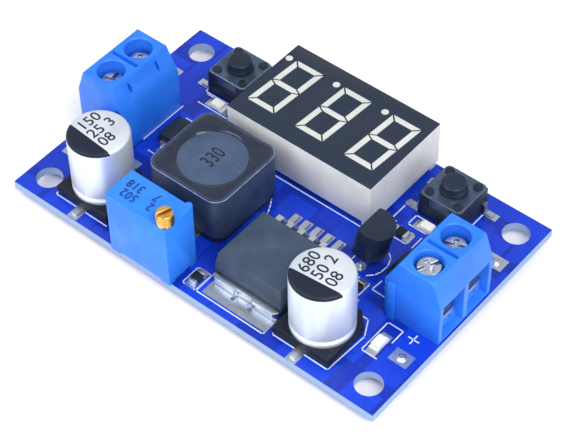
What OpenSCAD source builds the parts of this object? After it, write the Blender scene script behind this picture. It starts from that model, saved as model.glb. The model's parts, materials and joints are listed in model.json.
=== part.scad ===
// Adjustable step-down converter module with a three-digit voltage display.
// Millimetres. The origin is the centre of the four mounting holes on the underside of the board.
// +X runs from the output terminals to the input terminals, +Z up through the components.

/* [Board] */
// Length of the board along X
board_l = 57; // [57:0.5:70]
// Width of the board along Y
board_w = 35.6; // [35.6:0.2:44]
// Thickness of the board
board_t = 1.2; // [0.8:0.1:2]
// Diameter of the mounting holes
hole_d = 3.5; // [2.4:0.1:3.8]
// Hole centre to the board's end, along X
hole_end = 3.05; // [2.4:0.05:3.3]
// Hole centre to the board's side, along Y
hole_side = 3.25; // [2.4:0.05:3.4]
// Thickness of the tinned lands
land_t = 0.05; // [0.03:0.01:0.1]
// How far the pins reach below the board
pin_tail = 1.3; // [0.9:0.1:2.5]

/* [Terminal blocks] */
// Distance between the two wires of a block
pole_pitch = 5.08; // [5.08:0.02:5.6]
// Height of a block
term_h = 9.95; // [9.8:0.05:12]
// Depth of a block from its wire entries to its back
term_d = 7.9; // [7.8:0.05:8.1]
// Depth of the flat top
term_flat = 4.9; // [4.4:0.1:5.2]
// How far the front shoulder stands out from the flat top
term_front_slope = 1.2; // [0.6:0.1:1.6]
// Height of the shoulders under the slopes
shoulder_h = 6.45; // [6.35:0.05:7.2]
// Thickness of the end walls
term_wall = 0.6; // [0.4:0.05:0.7]
// Thickness of the web between the wire entries
term_web = 0.8; // [0.5:0.05:1]
// Diameter of the screw wells
well_d = 3.6; // [3.3:0.05:4]
// Width of the marking slot between the wells
slot_w = 0.55; // [0.3:0.05:0.8]
// How far the input block's front stands inside the board's end
in_inset = 0.2; // [0:0.05:0.4]
// How far the output block's front overhangs the board's end
out_overhang = 0.2; // [0:0.05:0.5]
// How far each block stands off the centre line
block_shift = 0.1; // [0:0.05:0.4]

/* [Wire clamps] */
// Thickness of the contact strip
strip_t = 0.8; // [0.6:0.05:0.9]
// Width of the contact strip
strip_w = 3.6; // [3:0.1:3.8]
// Height of the plate that the wire lies on
wire_plate_h = 2.5; // [2.3:0.05:2.7]
// Height of the top of the threaded plate
nut_plate_h = 6.2; // [6:0.05:6.3]
// Thickness of the wire guard
guard_t = 0.35; // [0.2:0.05:0.5]
// Thread diameter of the clamp screws
clamp_thread_d = 2.5; // [2:0.1:2.6]
// Head diameter of the clamp screws
clamp_head_d = 3.1; // [2.8:0.05:3.2]
// Head height of the clamp screws
clamp_head_h = 1.1; // [0.9:0.05:1.15]
// How far the input plus screw stands above its clamped place
in_plus_lift = 1.9; // [0:0.05:2]
// How far the input minus screw stands above its clamped place
in_minus_lift = 0.9; // [0:0.05:2]
// How far the output plus screw stands above its clamped place
out_plus_lift = 0.85; // [0:0.05:2]
// How far the output minus screw stands above its clamped place
out_minus_lift = 0.55; // [0:0.05:2]

/* [Display] */
// Length of the display case
disp_l = 22.6; // [22.6:0.1:23.6]
// Width of the display case
disp_w = 14; // [13.2:0.1:14]
// Height of the display case
disp_h = 6.6; // [6:0.1:8]
// Gap between the display case and the board
disp_gap = 0.8; // [0.5:0.05:1.2]
// Height of a digit
digit_h = 9.14; // [8:0.02:9.6]
// Width of a digit
digit_w = 4.38; // [4:0.02:4.44]
// Distance between the digits
digit_pitch = 7.68; // [7.2:0.02:7.7]
// Width of a lit bar
bar_w = 0.78; // [0.7:0.02:1.1]
// Lean of a digit over its height
digit_lean = 0.62; // [0:0.02:0.7]
// Width of the gap between two lit bars
bar_gap = 0.2; // [0.16:0.02:0.4]
// Diameter of the decimal points
dot_d = 0.95; // [0.8:0.05:1.1]

/* [Push switches] */
// Side of a switch
switch_w = 5.95; // [5.6:0.05:6.4]
// Height of the top of a switch's cover
switch_h = 3.85; // [3.4:0.05:4.3]
// Diameter of a button
button_d = 3.4; // [3:0.05:3.6]
// How far a button stands above the cover
button_rise = 1.45; // [1:0.05:4]
// How far a button travels
button_travel = 0.25; // [0.15:0.05:0.35]

/* [Capacitors] */
// Diameter of a capacitor's can
can_d = 8; // [6.3:0.1:8.2]
// Height of the top of a can above the board
can_h = 10.4; // [9:0.1:12]
// Side of a capacitor's base
cap_base_w = 8.3; // [8.2:0.05:8.6]
// Height of a capacitor's base
cap_base_h = 1.45; // [1.2:0.05:2]

/* [Coil] */
// Side of the coil's shield
coil_w = 11.8; // [11:0.1:12.2]
// Height of the coil's shield
coil_h = 7.6; // [6:0.1:9]
// Diameter of the core's top disc
core_d = 8.9; // [8:0.05:9.2]
// Corner radius of the shield
coil_r = 1.9; // [1:0.1:2.2]

/* [Trimmer] */
// Length of the trimmer's case
trim_l = 9.53; // [9.4:0.05:9.9]
// Width of the trimmer's case
trim_w = 4.83; // [4.6:0.05:5]
// Height of the top of the trimmer's case
trim_h = 9.95; // [9.8:0.05:11]
// Diameter of the adjusting screw
trim_screw_d = 2.2; // [2:0.05:2.3]
// How far the adjusting screw stands out of the case
trim_screw_rise = 1.85; // [1:0.05:2.2]

/* [Regulator] */
// Width of the regulator's body
reg_w = 10.2; // [10:0.05:10.4]
// Length of the regulator's body along Y
reg_l = 8.9; // [8.6:0.05:9]
// Height of the regulator's body
reg_h = 4.4; // [4:0.05:4.7]
// Distance between the regulator's leads
reg_pitch = 1.7; // [1.6:0.02:1.8]
// Width of a regulator lead
reg_lead_w = 0.8; // [0.6:0.05:0.9]

/* [Hidden] */

// smoothness of round pieces; a round hole stays a true bore at any of these
round_fn = 36;
small_fn = 16;
// clearance of a sliding fit, all round
fit = 0.05;
// overshoot of a cut past a face
cut = 1;

// the layout is drawn for this length of board, and spreads with it
layout_l = 57;
function along(x) = x*board_l/layout_l;

// heights above the underside of the board
top = board_t;
seat = board_t + land_t;

// ---- board and its drillings ----
hole_x = board_l/2 - hole_end;
hole_y = board_w/2 - hole_side;

// ---- terminal blocks, in their own frame: front face at x 0, board at z 0 ----
term_l = 2*pole_pitch;
term_back_slope = term_d - term_front_slope - term_flat;
screw_x = -term_front_slope - term_flat/2;
entry_w = (term_l - 2*term_wall - term_web)/2;
floor_h = wire_plate_h - strip_t;
ceiling_h = nut_plate_h + fit;
sill_h = 0.45;
sill_d = 0.95;
cavity_back = -term_d + 0.95;
strip_front = -1.0;
strip_back = cavity_back + fit;
nut_front = strip_front - 0.9;
groove_w = 0.5;
slot_depth = 1.6;
well_edge = 0.15;
guard_w = 3.2;
clamp_slot_w = 0.55;
back_angle = atan2(term_h - shoulder_h, term_back_slope);
back_slope_l = norm([term_back_slope, term_h - shoulder_h]);
almond_w = 0.5;
almond_r = 1.45;
almond_depth = 0.9;
rib_w = 1.1;
rib_out = 0.4;
rib_h = 6.2;
rib_x = -term_d + 1.15;
relief = 0.4;
entry_y = term_web/2 + entry_w/2;
contact_pin_d = 1.1;
// a clamp is shut when the guard lies on the wire plate with its clearance
guard_rest_h = wire_plate_h + fit;
shank_l = 3.4;
guard_front = nut_front + 0.35;
guard_back = strip_back + strip_t + 2*fit;

// block places: [front x, y, turn]
in_block = [board_l/2 - in_inset, -block_shift, 0];
out_block = [-board_l/2 - out_overhang, block_shift, 180];
// each pole's place along its own block
near_pole = -pole_pitch/2;
far_pole = pole_pitch/2;

// ---- display ----
disp_at = [0, 10.75];
disp_bottom = seat + disp_gap;
disp_wall = 0.6;
disp_pcb_t = 1;
disp_recess = 0.65;
disp_pin_pitch = 2.54;
disp_pin_row = 10.16;
disp_pin_d = 0.5;
digit_y = disp_at[1] - 4.47;
digit_x = disp_at[0] - digit_pitch - digit_w/2 - digit_lean/2;
dot_inset = [0.43, 0.3];
bar_ease = bar_gap*0.7;

// ---- switches ----
switch_cover_t = 0.3;
switch_lead_y = 2.25;
switch_lead_w = 0.7;
switch_reach = 1.6;
left_switch_gap = 0.975;
right_switch_gap = 1.325;
switch_half = switch_w/2 + switch_reach;
left_switch_at = [disp_at[0] - disp_l/2 - left_switch_gap - switch_half, 12.65];
right_switch_at = [disp_at[0] + disp_l/2 + right_switch_gap + switch_half, 12.75];
tab_w = 3;
tab_l = 1.2;
stake_at = 2.1;
stake_d = 1.15;
button_flange_d = button_d + 0.8;
button_top_d = button_d - 0.28;
button_step = button_rise*0.25;
dome_t = 0.12;
dome_stop = 0.3;
dome_h = button_travel + dome_stop;
switch_floor = 0.9;

// ---- capacitors ----
out_cap_at = [along(-18.6), -11.6];
in_cap_at = [along(16.4), -11.7];
cap_lead_w = 0.75;
cap_lead_t = 0.3;
cap_lead_reach = 1.45;
cap_chamfer = 1.6;
can_seat = 0.5;
bead_z = 1.9;
bead_in = 0.3;

// ---- coil ----
coil_at = [along(-6.85), -4.1];
coil_base_t = 0.8;
coil_bore = core_d + 1.5;
coil_top_in = 0.25;
core_post_d = 4;
core_flange_t = 1.5;
coil_terminal_w = 3.2;
coil_terminal_t = 0.2;
coil_edge = 0.12;

// ---- trimmer ----
trim_at = [-6.6, -15.75];
trim_foot = 0.35;
trim_screw_at = [trim_at[0] + trim_l/2 - 0.87, trim_at[1] - trim_w/2 + 1.07];
trim_wall = 0.4;
trim_pin_pitch = 2.54;
trim_pin_d = 0.5;
wheel_d = 5.4;
wheel_t = 0.9;
wheel_teeth = 24;
tooth_gap = 0.35;
worm_d = 1.5;
worm_pitch = 0.7;
worm_turns = 7;
neck_d = 1.1;
hub_d = 1.4;
rib_r = 0.5;
wheel_gap = 0.08;
trim_floor = 1;
trim_roof = 0.9;
wheel_at = [trim_screw_at[0] - worm_d/2 - wheel_gap - wheel_d/2, trim_screw_at[1],
            top + (trim_foot + trim_floor + trim_h - trim_roof)/2];
element_t = 0.6;
element_y = trim_at[1] + 0.3 - trim_pin_d/2 - element_t + 0.1;

// ---- regulator ----
reg_gap = 0.55;
reg_at = [in_cap_at[0] - cap_base_w/2 - reg_gap - reg_w/2, -9.2];
reg_split = 2.3;
tab_t = 1.25;
tab_out = 0.9;
reg_lead_t = 0.5;
reg_lead_h = 3;
reg_knee = 2;
reg_lead_reach = 4.6;
reg_land_y = reg_at[1] - reg_l/2 - 2.75;
reg_land_w = 9.8;
via_d = 0.6;
via_spacing = 2.6;
via_in = 1.5;

// ---- small parts ----
diode_w = 2.6;
diode_l = 4.2;
diode_h = 2.15;
diode_lead_w = 1.5;
catch_diode_gap = 2.2;
input_diode_gap = 0.1;
catch_diode_at = [out_block[0] + term_d + catch_diode_gap + diode_w/2, 0.45];
input_diode_at = [in_block[0] - term_d - input_diode_gap - diode_w/2, 0.7];
transistor_lean = 12;
transistor_h = 4.8;
transistor_r = 2.35;
transistor_flat = 1.2;
transistor_gap = 2.3;
transistor_side_gap = 0.4;
transistor_at = [input_diode_at[0] - diode_w/2 - transistor_side_gap - transistor_r*cos(transistor_lean)
    - transistor_h*sin(transistor_lean), 0.25];
leg_d = 0.45;
leg_pitch = 1.27;
leg_spread = 1.7;
leg_knee = 0.8;
chip_l = 2;
chip_w = 1.25;
chip_h = 0.55;
chip_end = 0.4;
// each chip: [x, y, turn]
// the first one stands midway between the trimmer and the regulator's land
chip_mid = (trim_at[0] + trim_l/2 + reg_at[0] - reg_land_w/2)/2;
chips = [[chip_mid, -15.25, 90], [along(14.65), 5.7, 0], [along(15.7), -4.4, 90]];
// each lamp: [x, y, turn]
lamps = [[left_switch_at[0] - 0.1, 8.2, 0], [right_switch_at[0] - 0.5, 8.3, 0],
         [board_l/2 - 5.6, -9.35, 90]];
lamp_l = 2.4;
lamp_w = 1.3;
lamp_h = 0.75;
lamp_base_h = 0.3;
controller_at = [disp_at[0] + 7.4, disp_at[1] + 0.15];
controller_w = 4.4;
controller_l = 6.5;
controller_h = 0.95;
controller_pitch = 0.65;
controller_pins = 10;
controller_reach = 1;
test_land = [2.6, 2];
test_land_x = board_l/2 - 2.35;
bump_r = 0.65;
bump_h = 0.25;
test_land_y = 9.3;

// ---- through-hole pins: [x, y, pin diameter] ----
function pole_place(block, y) =
    let (s = block[2] == 0 ? 1 : -1) [block[0] + s*screw_x, block[1] + s*y, contact_pin_d];
function trimmer_pin(i) = [trim_at[0] + i*trim_pin_pitch, trim_at[1] + 0.3, trim_pin_d];
function display_pin(i, side) =
    [disp_at[0] + (i - 2.5)*disp_pin_pitch, disp_at[1] + side*disp_pin_row/2, disp_pin_d];
function transistor_leg(i) = [transistor_at[0], transistor_at[1] + i*leg_spread, leg_d];
PINS = concat(
    [for (b = [in_block, out_block], y = [near_pole, far_pole]) pole_place(b, y)],
    [for (i = [-1:1]) trimmer_pin(i)],
    [for (i = [0:5], side = [-1, 1]) display_pin(i, side)],
    [for (i = [-1:1]) transistor_leg(i)]);

// solder round a pin, and the drilling that the pin passes
function ring_d(pin_d) = pin_d + (pin_d > 1 ? 1.2 : 0.95);
function drill_d(pin_d) = pin_d + 2*fit;

// copies of a piece at four corners
module corners(dx, dy) {
    for (sx = [-1, 1], sy = [-1, 1]) translate([sx*dx, sy*dy, 0]) children();
}

// rectangle with round corners, standing on z 0
module rounded_plate(l, w, h, r) {
    linear_extrude(h) rounded_outline(l, w, r);
}

// the same, as an outline of straight sides and quarter circles
module rounded_outline(l, w, r) {
    square([l - 2*r, w], center = true);
    square([l, w - 2*r], center = true);
    corners(l/2 - r, w/2 - r) circle(r, $fn = small_fn);
}

// plate of a given size lying centred at a place
module land(x, y, l, w) {
    translate([x - l/2, y - w/2, top]) cube([l, w, land_t]);
}

// a strip bent twice, from a body down to its foot; profile in x and z, width along y
module gull_wing(reach, height, t, w, knee, foot) {
    slope_x = reach - foot;
    rotate([90, 0, 0]) translate([0, 0, -w/2]) linear_extrude(w)
        polygon([[0, height], [knee, height], [slope_x + t/2, t], [reach, t], [reach, 0],
                 [slope_x - t/3, 0], [knee - t*0.6, height - t], [0, height - t]]);
}

// ================= board =================
module board() {
    color("mediumblue")
    difference() {
        translate([-board_l/2, -board_w/2, 0]) cube([board_l, board_w, board_t]);
        corners(hole_x, hole_y) translate([0, 0, -cut]) cylinder(d = hole_d, h = board_t + 2*cut, $fn = round_fn);
        for (p = PINS)
            translate([p[0], p[1], -cut]) cylinder(d = drill_d(p[2]), h = board_t + 2*cut, $fn = small_fn);
        vias();
    }
}

// two drillings in front of the regulator's tab
module vias() {
    for (s = [-1, 1])
        translate([reg_at[0] + s*via_spacing/2, reg_land_y + via_in, -cut])
            cylinder(d = via_d, h = board_t + land_t + 2*cut, $fn = small_fn);
}

// tinned copper on the board's upper face
module solder_pads() {
    color("silver") {
        for (i = [-1:1]) {
            p = transistor_leg(i);
            translate([p[0], p[1], top]) difference() {
                cylinder(d = ring_d(p[2]), h = land_t, $fn = small_fn);
                translate([0, 0, -cut]) cylinder(d = drill_d(p[2]), h = land_t + 2*cut, $fn = small_fn);
            }
        }
        difference() {
            translate([reg_at[0] - reg_land_w/2, reg_land_y, top]) cube([reg_land_w, reg_l - 1, land_t]);
            vias();
        }
        for (i = [-2:2])
            land(reg_at[0] + i*reg_pitch, reg_at[1] + reg_l/2 + reg_lead_reach - 0.9, 1.1, 2.6);
        for (c = [out_cap_at, in_cap_at], s = [-1, 1])
            land(c[0], c[1] + s*(cap_base_w/2 + 0.3), 1.5, 3.4);
        for (c = [left_switch_at, right_switch_at], sx = [-1, 1], sy = [-1, 1])
            land(c[0] + sx*(switch_w/2 + switch_reach - 0.35), c[1] + sy*switch_lead_y, 1.9, 1.1);
        for (d = [catch_diode_at, input_diode_at], s = [-1, 1])
            land(d[0], d[1] + s*(diode_l/2 + 0.1), 1.7, 1.7);
        for (s = [-1, 1])
            land(coil_at[0], coil_at[1] + s*(coil_w/2 - 0.2), 5, 2.4);
        for (c = chips) chip_lands(c, chip_l);
        for (c = lamps) chip_lands(c, lamp_l);
        for (sx = [-1, 1], sy = [-1, 1])
            land(sx*test_land_x, sy*test_land_y, test_land[0], test_land[1]);
        for (i = [0:controller_pins - 1], s = [-1, 1])
            land(controller_at[0] + s*(controller_w/2 + controller_reach - 0.3),
                 controller_at[1] + (i - (controller_pins - 1)/2)*controller_pitch, 1.1, 0.36);
    }
}

// the two lands of a chip part
module chip_lands(c, l) {
    translate([c[0], c[1], top]) rotate([0, 0, c[2]])
        for (s = [-1, 1]) translate([s*l/2 - 0.6, -0.7, 0]) cube([1.2, 1.4, land_t]);
}

// solder cone under the board, hollowed towards its tip
module solder_cone(pin_d) {
    r = ring_d(pin_d)/2;
    tip_r = pin_d/2 + 0.12;
    tip_z = -pin_tail*0.75;
    rotate_extrude($fn = small_fn)
        polygon([[pin_d/2, 0], [r, 0], [(r + 2*tip_r)/3, tip_z*0.4], [tip_r, tip_z], [pin_d/2, tip_z]]);
}

module solder_joints() {
    color("gainsboro") {
        for (p = PINS) translate([p[0], p[1], 0]) solder_cone(p[2]);
        // low bumps on the test lands
        for (sx = [-1, 1], sy = [-1, 1])
            translate([sx*test_land_x, sy*test_land_y, seat])
                cylinder(r1 = bump_r, r2 = bump_r*0.45, h = bump_h, $fn = small_fn);
    }
}

// ================= terminal blocks =================
module at_block(block) {
    translate([block[0], block[1], top]) rotate([0, 0, block[2]]) children();
}

// side view of a block, front at x 0
module term_outline() {
    polygon([[0, 0], [0, shoulder_h], [-term_front_slope, term_h],
             [-term_front_slope - term_flat, term_h], [-term_d, shoulder_h], [-term_d, 0]]);
}

// dovetail that joins blocks side by side, in plan
module dovetail(grow) {
    translate([rib_x, 0]) polygon([[-rib_w*0.32 - grow, 0.2], [rib_w*0.32 + grow, 0.2],
        [rib_w/2 + grow, -rib_out - grow], [-rib_w/2 - grow, -rib_out - grow]]);
}

// everything cut away for one wire: s is the side of the block
module wire_entry(s) {
    // mouth, down to the thin sill
    translate([-sill_d, s*entry_y - entry_w/2, sill_h])
        cube([sill_d + cut, entry_w, ceiling_h - sill_h]);
    // ramp behind the sill, up to the wire plate
    translate([0, s*entry_y + entry_w/2, 0]) rotate([90, 0, 0]) linear_extrude(entry_w)
        polygon([[-sill_d + 0.01, sill_h + 0.35], [-sill_d + 0.01, floor_h + 0.01], [-sill_d - 0.45, floor_h + 0.01]]);
    // chamber that holds the clamp
    translate([cavity_back, s*entry_y - entry_w/2, floor_h])
        cube([-cavity_back - sill_d + 0.01, entry_w, ceiling_h - floor_h]);
    // two grooves down the ramp
    for (k = [-1, 1]) translate([-sill_d - 0.6, s*entry_y + k*entry_w/4 - groove_w/2, sill_h + 0.5])
        cube([0.6 + cut, groove_w, floor_h]);
    translate([screw_x, s*pole_pitch/2, 0]) {
        // screw well with a chamfered mouth
        translate([0, 0, ceiling_h - 0.1]) cylinder(d = well_d, h = term_h, $fn = round_fn);
        translate([0, 0, term_h - well_edge]) cylinder(d1 = well_d, d2 = well_d + 2*well_edge + 0.02,
            h = well_edge + 0.01, $fn = round_fn);
        // hole for the contact's pin
        translate([0, 0, -cut]) cylinder(d = drill_d(contact_pin_d), h = floor_h + 2*cut, $fn = small_fn);
    }
    // almond-shaped slot in the back slope
    translate([-term_d, s*pole_pitch/2, shoulder_h]) rotate([0, -back_angle, 0])
        translate([back_slope_l*0.63, 0, -almond_depth]) linear_extrude(almond_depth + cut) intersection() {
            translate([0, almond_r - almond_w/2]) circle(almond_r, $fn = round_fn);
            translate([0, -almond_r + almond_w/2]) circle(almond_r, $fn = round_fn);
        }
}

module terminal_housing() {
    difference() {
        union() {
            translate([0, term_l/2, 0]) rotate([90, 0, 0]) linear_extrude(term_l) term_outline();
            translate([0, -term_l/2, 0]) linear_extrude(rib_h) dovetail(0);
        }
        for (s = [-1, 1]) wire_entry(s);
        // groove that takes the next block's dovetail
        translate([0, term_l/2, -cut]) linear_extrude(rib_h + 0.2 + cut) dovetail(0.06);
        // slot between the wells
        translate([screw_x - term_flat/2 + 0.28, -slot_w/2, term_h - slot_depth])
            cube([term_flat - 0.56, slot_w, slot_depth + cut]);
        // reliefs under the block, between its feet
        for (s = [-1, 1]) translate([-term_d + 1.2, s*(term_l/2 - 1.7) - 0.5, -cut])
            cube([term_d - 2.4, 1, relief + cut]);
    }
}

// bent strip of both poles with the pin that goes through the board
module terminal_contacts() {
    for (s = [-1, 1]) translate([0, s*pole_pitch/2, 0]) {
        difference() {
            translate([0, strip_w/2, 0]) rotate([90, 0, 0]) linear_extrude(strip_w)
                polygon([[strip_front, floor_h], [strip_front, wire_plate_h],
                         [strip_back + strip_t, wire_plate_h], [strip_back + strip_t, nut_plate_h - strip_t],
                         [nut_front, nut_plate_h - strip_t], [nut_front, nut_plate_h],
                         [strip_back, nut_plate_h], [strip_back, floor_h]]);
            // threaded hole
            translate([screw_x, 0, nut_plate_h - strip_t - cut])
                cylinder(d = clamp_thread_d + 2*fit, h = strip_t + 2*cut, $fn = round_fn);
            // three grooves that bite the wire
            for (i = [0:2]) translate([strip_front - 0.5 - i*0.6, -strip_w/2 - cut, wire_plate_h - 0.15])
                cube([0.25, strip_w + 2*cut, 1]);
        }
        translate([screw_x, 0, -board_t - pin_tail])
            cylinder(d = contact_pin_d, h = board_t + pin_tail + floor_h + 0.3, $fn = small_fn);
    }
}

// wire guard under the screw, lip turned down at its front
module wire_guard(s, lift) {
    translate([0, s*pole_pitch/2, guard_rest_h + lift]) {
        translate([guard_back, -guard_w/2, 0]) cube([guard_front - guard_back, guard_w, guard_t]);
        // dimple that centres the screw's tip
        translate([screw_x, 0, guard_t]) cylinder(d1 = 1.4, d2 = 0.8, h = 0.15, $fn = small_fn);
    }
}

// clamp screw: cross recess and slot in the head, chamfered edges, hollow in the tip
module clamp_screw(s, lift, turn) {
    head_z = shank_l;
    translate([screw_x, s*pole_pitch/2, guard_rest_h + guard_t + lift]) rotate([0, 0, turn]) difference() {
        union() {
            cylinder(d1 = clamp_thread_d - 0.5, d2 = clamp_thread_d, h = 0.3, $fn = round_fn);
            translate([0, 0, 0.3]) cylinder(d = clamp_thread_d, h = shank_l - 0.2, $fn = round_fn);
            translate([0, 0, head_z]) cylinder(d = clamp_head_d, h = clamp_head_h - 0.2, $fn = round_fn);
            translate([0, 0, head_z + clamp_head_h - 0.2])
                cylinder(d1 = clamp_head_d, d2 = clamp_head_d - 0.3, h = 0.2, $fn = round_fn);
        }
        translate([0, 0, head_z + clamp_head_h - 0.55]) {
            translate([-clamp_head_d, -clamp_slot_w/2, 0]) cube([2*clamp_head_d, clamp_slot_w, cut]);
            translate([-clamp_slot_w/2, -clamp_head_d*0.34, 0]) cube([clamp_slot_w, clamp_head_d*0.68, cut]);
        }
        translate([0, 0, -cut]) cylinder(d = 1.5, h = cut + 0.2, $fn = small_fn);
    }
}

module input_housing() { color("dodgerblue") at_block(in_block) terminal_housing(); }
module input_contacts() { color("gainsboro") at_block(in_block) terminal_contacts(); }
module output_housing() { color("dodgerblue") at_block(out_block) terminal_housing(); }
module output_contacts() { color("gainsboro") at_block(out_block) terminal_contacts(); }
module input_plus_guard() { color("silver") at_block(in_block) wire_guard(-1, in_plus_lift); }
module input_minus_guard() { color("silver") at_block(in_block) wire_guard(1, in_minus_lift); }
module output_plus_guard() { color("silver") at_block(out_block) wire_guard(1, out_plus_lift); }
module output_minus_guard() { color("silver") at_block(out_block) wire_guard(-1, out_minus_lift); }
module input_plus_screw() { color("lightgray") at_block(in_block) clamp_screw(-1, in_plus_lift, 62); }
module input_minus_screw() { color("lightgray") at_block(in_block) clamp_screw(1, in_minus_lift, 20); }
module output_plus_screw() { color("lightgray") at_block(out_block) clamp_screw(1, out_plus_lift, 100); }
module output_minus_screw() { color("lightgray") at_block(out_block) clamp_screw(-1, out_minus_lift, 35); }

// ================= display =================
// bar at the foot of a digit, mitred at both corners
module end_bar() {
    polygon([[bar_ease, 0], [digit_w - bar_ease, 0],
             [digit_w - bar_w - bar_ease, bar_w], [bar_w + bar_ease, bar_w]]);
}

// lower bar at a digit's side: mitred at the corner, slanted at the middle
module side_bar() {
    polygon([[0, bar_ease], [bar_w, bar_w + bar_ease],
             [bar_w, digit_h/2 - bar_w/2 - bar_ease], [0, digit_h/2 - bar_ease]]);
}

module middle_bar() {
    in = bar_w + bar_ease;
    translate([0, digit_h/2])
        polygon([[bar_ease, 0], [in, bar_w/2], [digit_w - in, bar_w/2],
                 [digit_w - bar_ease, 0], [digit_w - in, -bar_w/2], [in, -bar_w/2]]);
}

module half_digit() {
    end_bar();
    side_bar();
    translate([digit_w, 0]) mirror([1, 0]) side_bar();
}

// upright digit seen in plan: three cross bars and four long bars
module digit() {
    half_digit();
    translate([0, digit_h]) mirror([0, 1]) half_digit();
    middle_bar();
}

// all the lit shapes of the display, leaning with the digits
module display_shapes() {
    for (i = [0:2]) translate([digit_x + i*digit_pitch, digit_y]) {
        multmatrix([[1, digit_lean/digit_h, 0, 0], [0, 1, 0, 0], [0, 0, 1, 0]]) digit();
        translate([-dot_inset[0], digit_h - dot_inset[1]]) circle(d = dot_d, $fn = small_fn);
    }
}

module display_case() {
    color("darkslategray") {
        difference() {
            translate([disp_at[0], disp_at[1], disp_bottom]) difference() {
                translate([-disp_l/2, -disp_w/2, 0]) cube([disp_l, disp_w, disp_h]);
                // recess that takes the display's own board
                translate([-disp_l/2 + disp_wall, -disp_w/2 + disp_wall, -cut])
                    cube([disp_l - 2*disp_wall, disp_w - 2*disp_wall, disp_recess + disp_pcb_t + cut]);
            }
            translate([0, 0, disp_bottom]) linear_extrude(disp_h + cut) display_shapes();
        }
        // corner feet that stand on the board
        translate([disp_at[0], disp_at[1], top]) corners(disp_l/2 - 0.8, disp_w/2 - 0.8)
            translate([-0.6, -0.6, 0]) cube([1.2, 1.2, disp_gap + disp_recess]);
    }
}

module display_windows() {
    color("whitesmoke") translate([0, 0, disp_bottom + disp_recess + disp_pcb_t])
        linear_extrude(disp_h - disp_recess - disp_pcb_t) display_shapes();
}

module display_board() {
    color("seagreen") difference() {
        translate([disp_at[0] - disp_l/2 + disp_wall, disp_at[1] - disp_w/2 + disp_wall, disp_bottom + disp_recess])
            cube([disp_l - 2*disp_wall, disp_w - 2*disp_wall, disp_pcb_t]);
        display_pins();
    }
}

module display_pins() {
    color("silver") for (i = [0:5], side = [-1, 1]) {
        p = display_pin(i, side);
        translate([p[0], p[1], -pin_tail])
            cylinder(d = p[2], h = pin_tail + disp_bottom + disp_recess + 0.4, $fn = small_fn);
    }
}

// ================= push switches =================
module at_switch(c) { translate([c[0], c[1], top]) children(); }

module switch_base() {
    difference() {
        switch_block();
        switch_leads();
    }
}

module switch_block() {
    difference() {
        translate([-switch_w/2, -switch_w/2, 0]) cube([switch_w, switch_w, switch_h - switch_cover_t]);
        translate([0, 0, switch_floor]) cylinder(d = button_flange_d + 2*fit, h = switch_h, $fn = round_fn);
        // recesses for the cover's two side tabs
        for (s = [-1, 1]) translate([-tab_w/2 - fit, s*(switch_w/2 - switch_cover_t/2) - switch_cover_t/2 - 0.01,
            switch_h - switch_cover_t - tab_l - fit]) cube([tab_w + 2*fit, switch_cover_t + 0.02, tab_l + cut]);
    }
    // stakes that hold the cover
    corners(stake_at, stake_at) translate([0, 0, switch_h - switch_cover_t - 0.3])
        cylinder(d = stake_d, h = switch_cover_t + 0.3 + 0.15, $fn = small_fn);
}

module switch_cover() {
    difference() {
        union() {
            translate([0, 0, switch_h - switch_cover_t]) rounded_plate(switch_w, switch_w, switch_cover_t, 0.6);
            for (s = [-1, 1]) translate([-tab_w/2, s*(switch_w/2 - switch_cover_t/2) - switch_cover_t/2,
                switch_h - switch_cover_t - tab_l]) cube([tab_w, switch_cover_t, tab_l + 0.1]);
        }
        translate([0, 0, switch_h - cut]) cylinder(d = button_d + 2*fit, h = 2*cut, $fn = round_fn);
        corners(stake_at, stake_at) translate([0, 0, switch_h - cut])
            cylinder(d = stake_d, h = 2*cut, $fn = small_fn);
    }
}

// button with a flange kept under the cover
module switch_button() {
    flange_z = switch_floor + dome_h;
    translate([0, 0, flange_z])
        cylinder(d = button_flange_d, h = switch_h - switch_cover_t - fit - flange_z, $fn = round_fn);
    translate([0, 0, flange_z]) cylinder(d = button_d, h = switch_h + button_step - flange_z, $fn = round_fn);
    translate([0, 0, switch_h + button_step - 0.01])
        cylinder(d1 = button_d, d2 = button_top_d, h = 0.3, $fn = round_fn);
    translate([0, 0, switch_h]) cylinder(d = button_top_d, h = button_rise - 0.12, $fn = round_fn);
    translate([0, 0, switch_h + button_rise - 0.12])
        cylinder(d1 = button_top_d, d2 = button_top_d - 0.24, h = 0.12, $fn = round_fn);
}

// thin snap dome under the button
module switch_dome() {
    r = button_flange_d/2;
    translate([0, 0, switch_floor]) rotate_extrude($fn = round_fn)
        polygon([[r, 0], [r*0.8, dome_h*0.6], [r*0.4, dome_h], [0, dome_h], [0, dome_h - dome_t],
                 [r*0.4, dome_h - dome_t], [r*0.76, dome_h*0.6 - dome_t], [r - dome_t, 0]]);
}

module switch_leads() {
    for (sx = [0, 180], y = [-1, 1]) rotate([0, 0, sx])
        translate([switch_w/2 - 0.3, y*switch_lead_y, land_t])
            gull_wing(switch_reach + 0.3, 1.5, 0.25, switch_lead_w, 0.7, 1.1);
}

module left_switch_base() { color("dimgray") at_switch(left_switch_at) switch_base(); }
module left_switch_cover() { color("slategray") at_switch(left_switch_at) switch_cover(); }
module left_switch_button() { color("black") at_switch(left_switch_at) switch_button(); }
module left_switch_dome() { color("silver") at_switch(left_switch_at) switch_dome(); }
module left_switch_leads() { color("silver") at_switch(left_switch_at) switch_leads(); }
module right_switch_base() { color("dimgray") at_switch(right_switch_at) switch_base(); }
module right_switch_cover() { color("slategray") at_switch(right_switch_at) switch_cover(); }
module right_switch_button() { color("black") at_switch(right_switch_at) switch_button(); }
module right_switch_dome() { color("silver") at_switch(right_switch_at) switch_dome(); }
module right_switch_leads() { color("silver") at_switch(right_switch_at) switch_leads(); }

// ================= capacitors =================
module at_cap(c) { translate([c[0], c[1], seat]) children(); }

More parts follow.
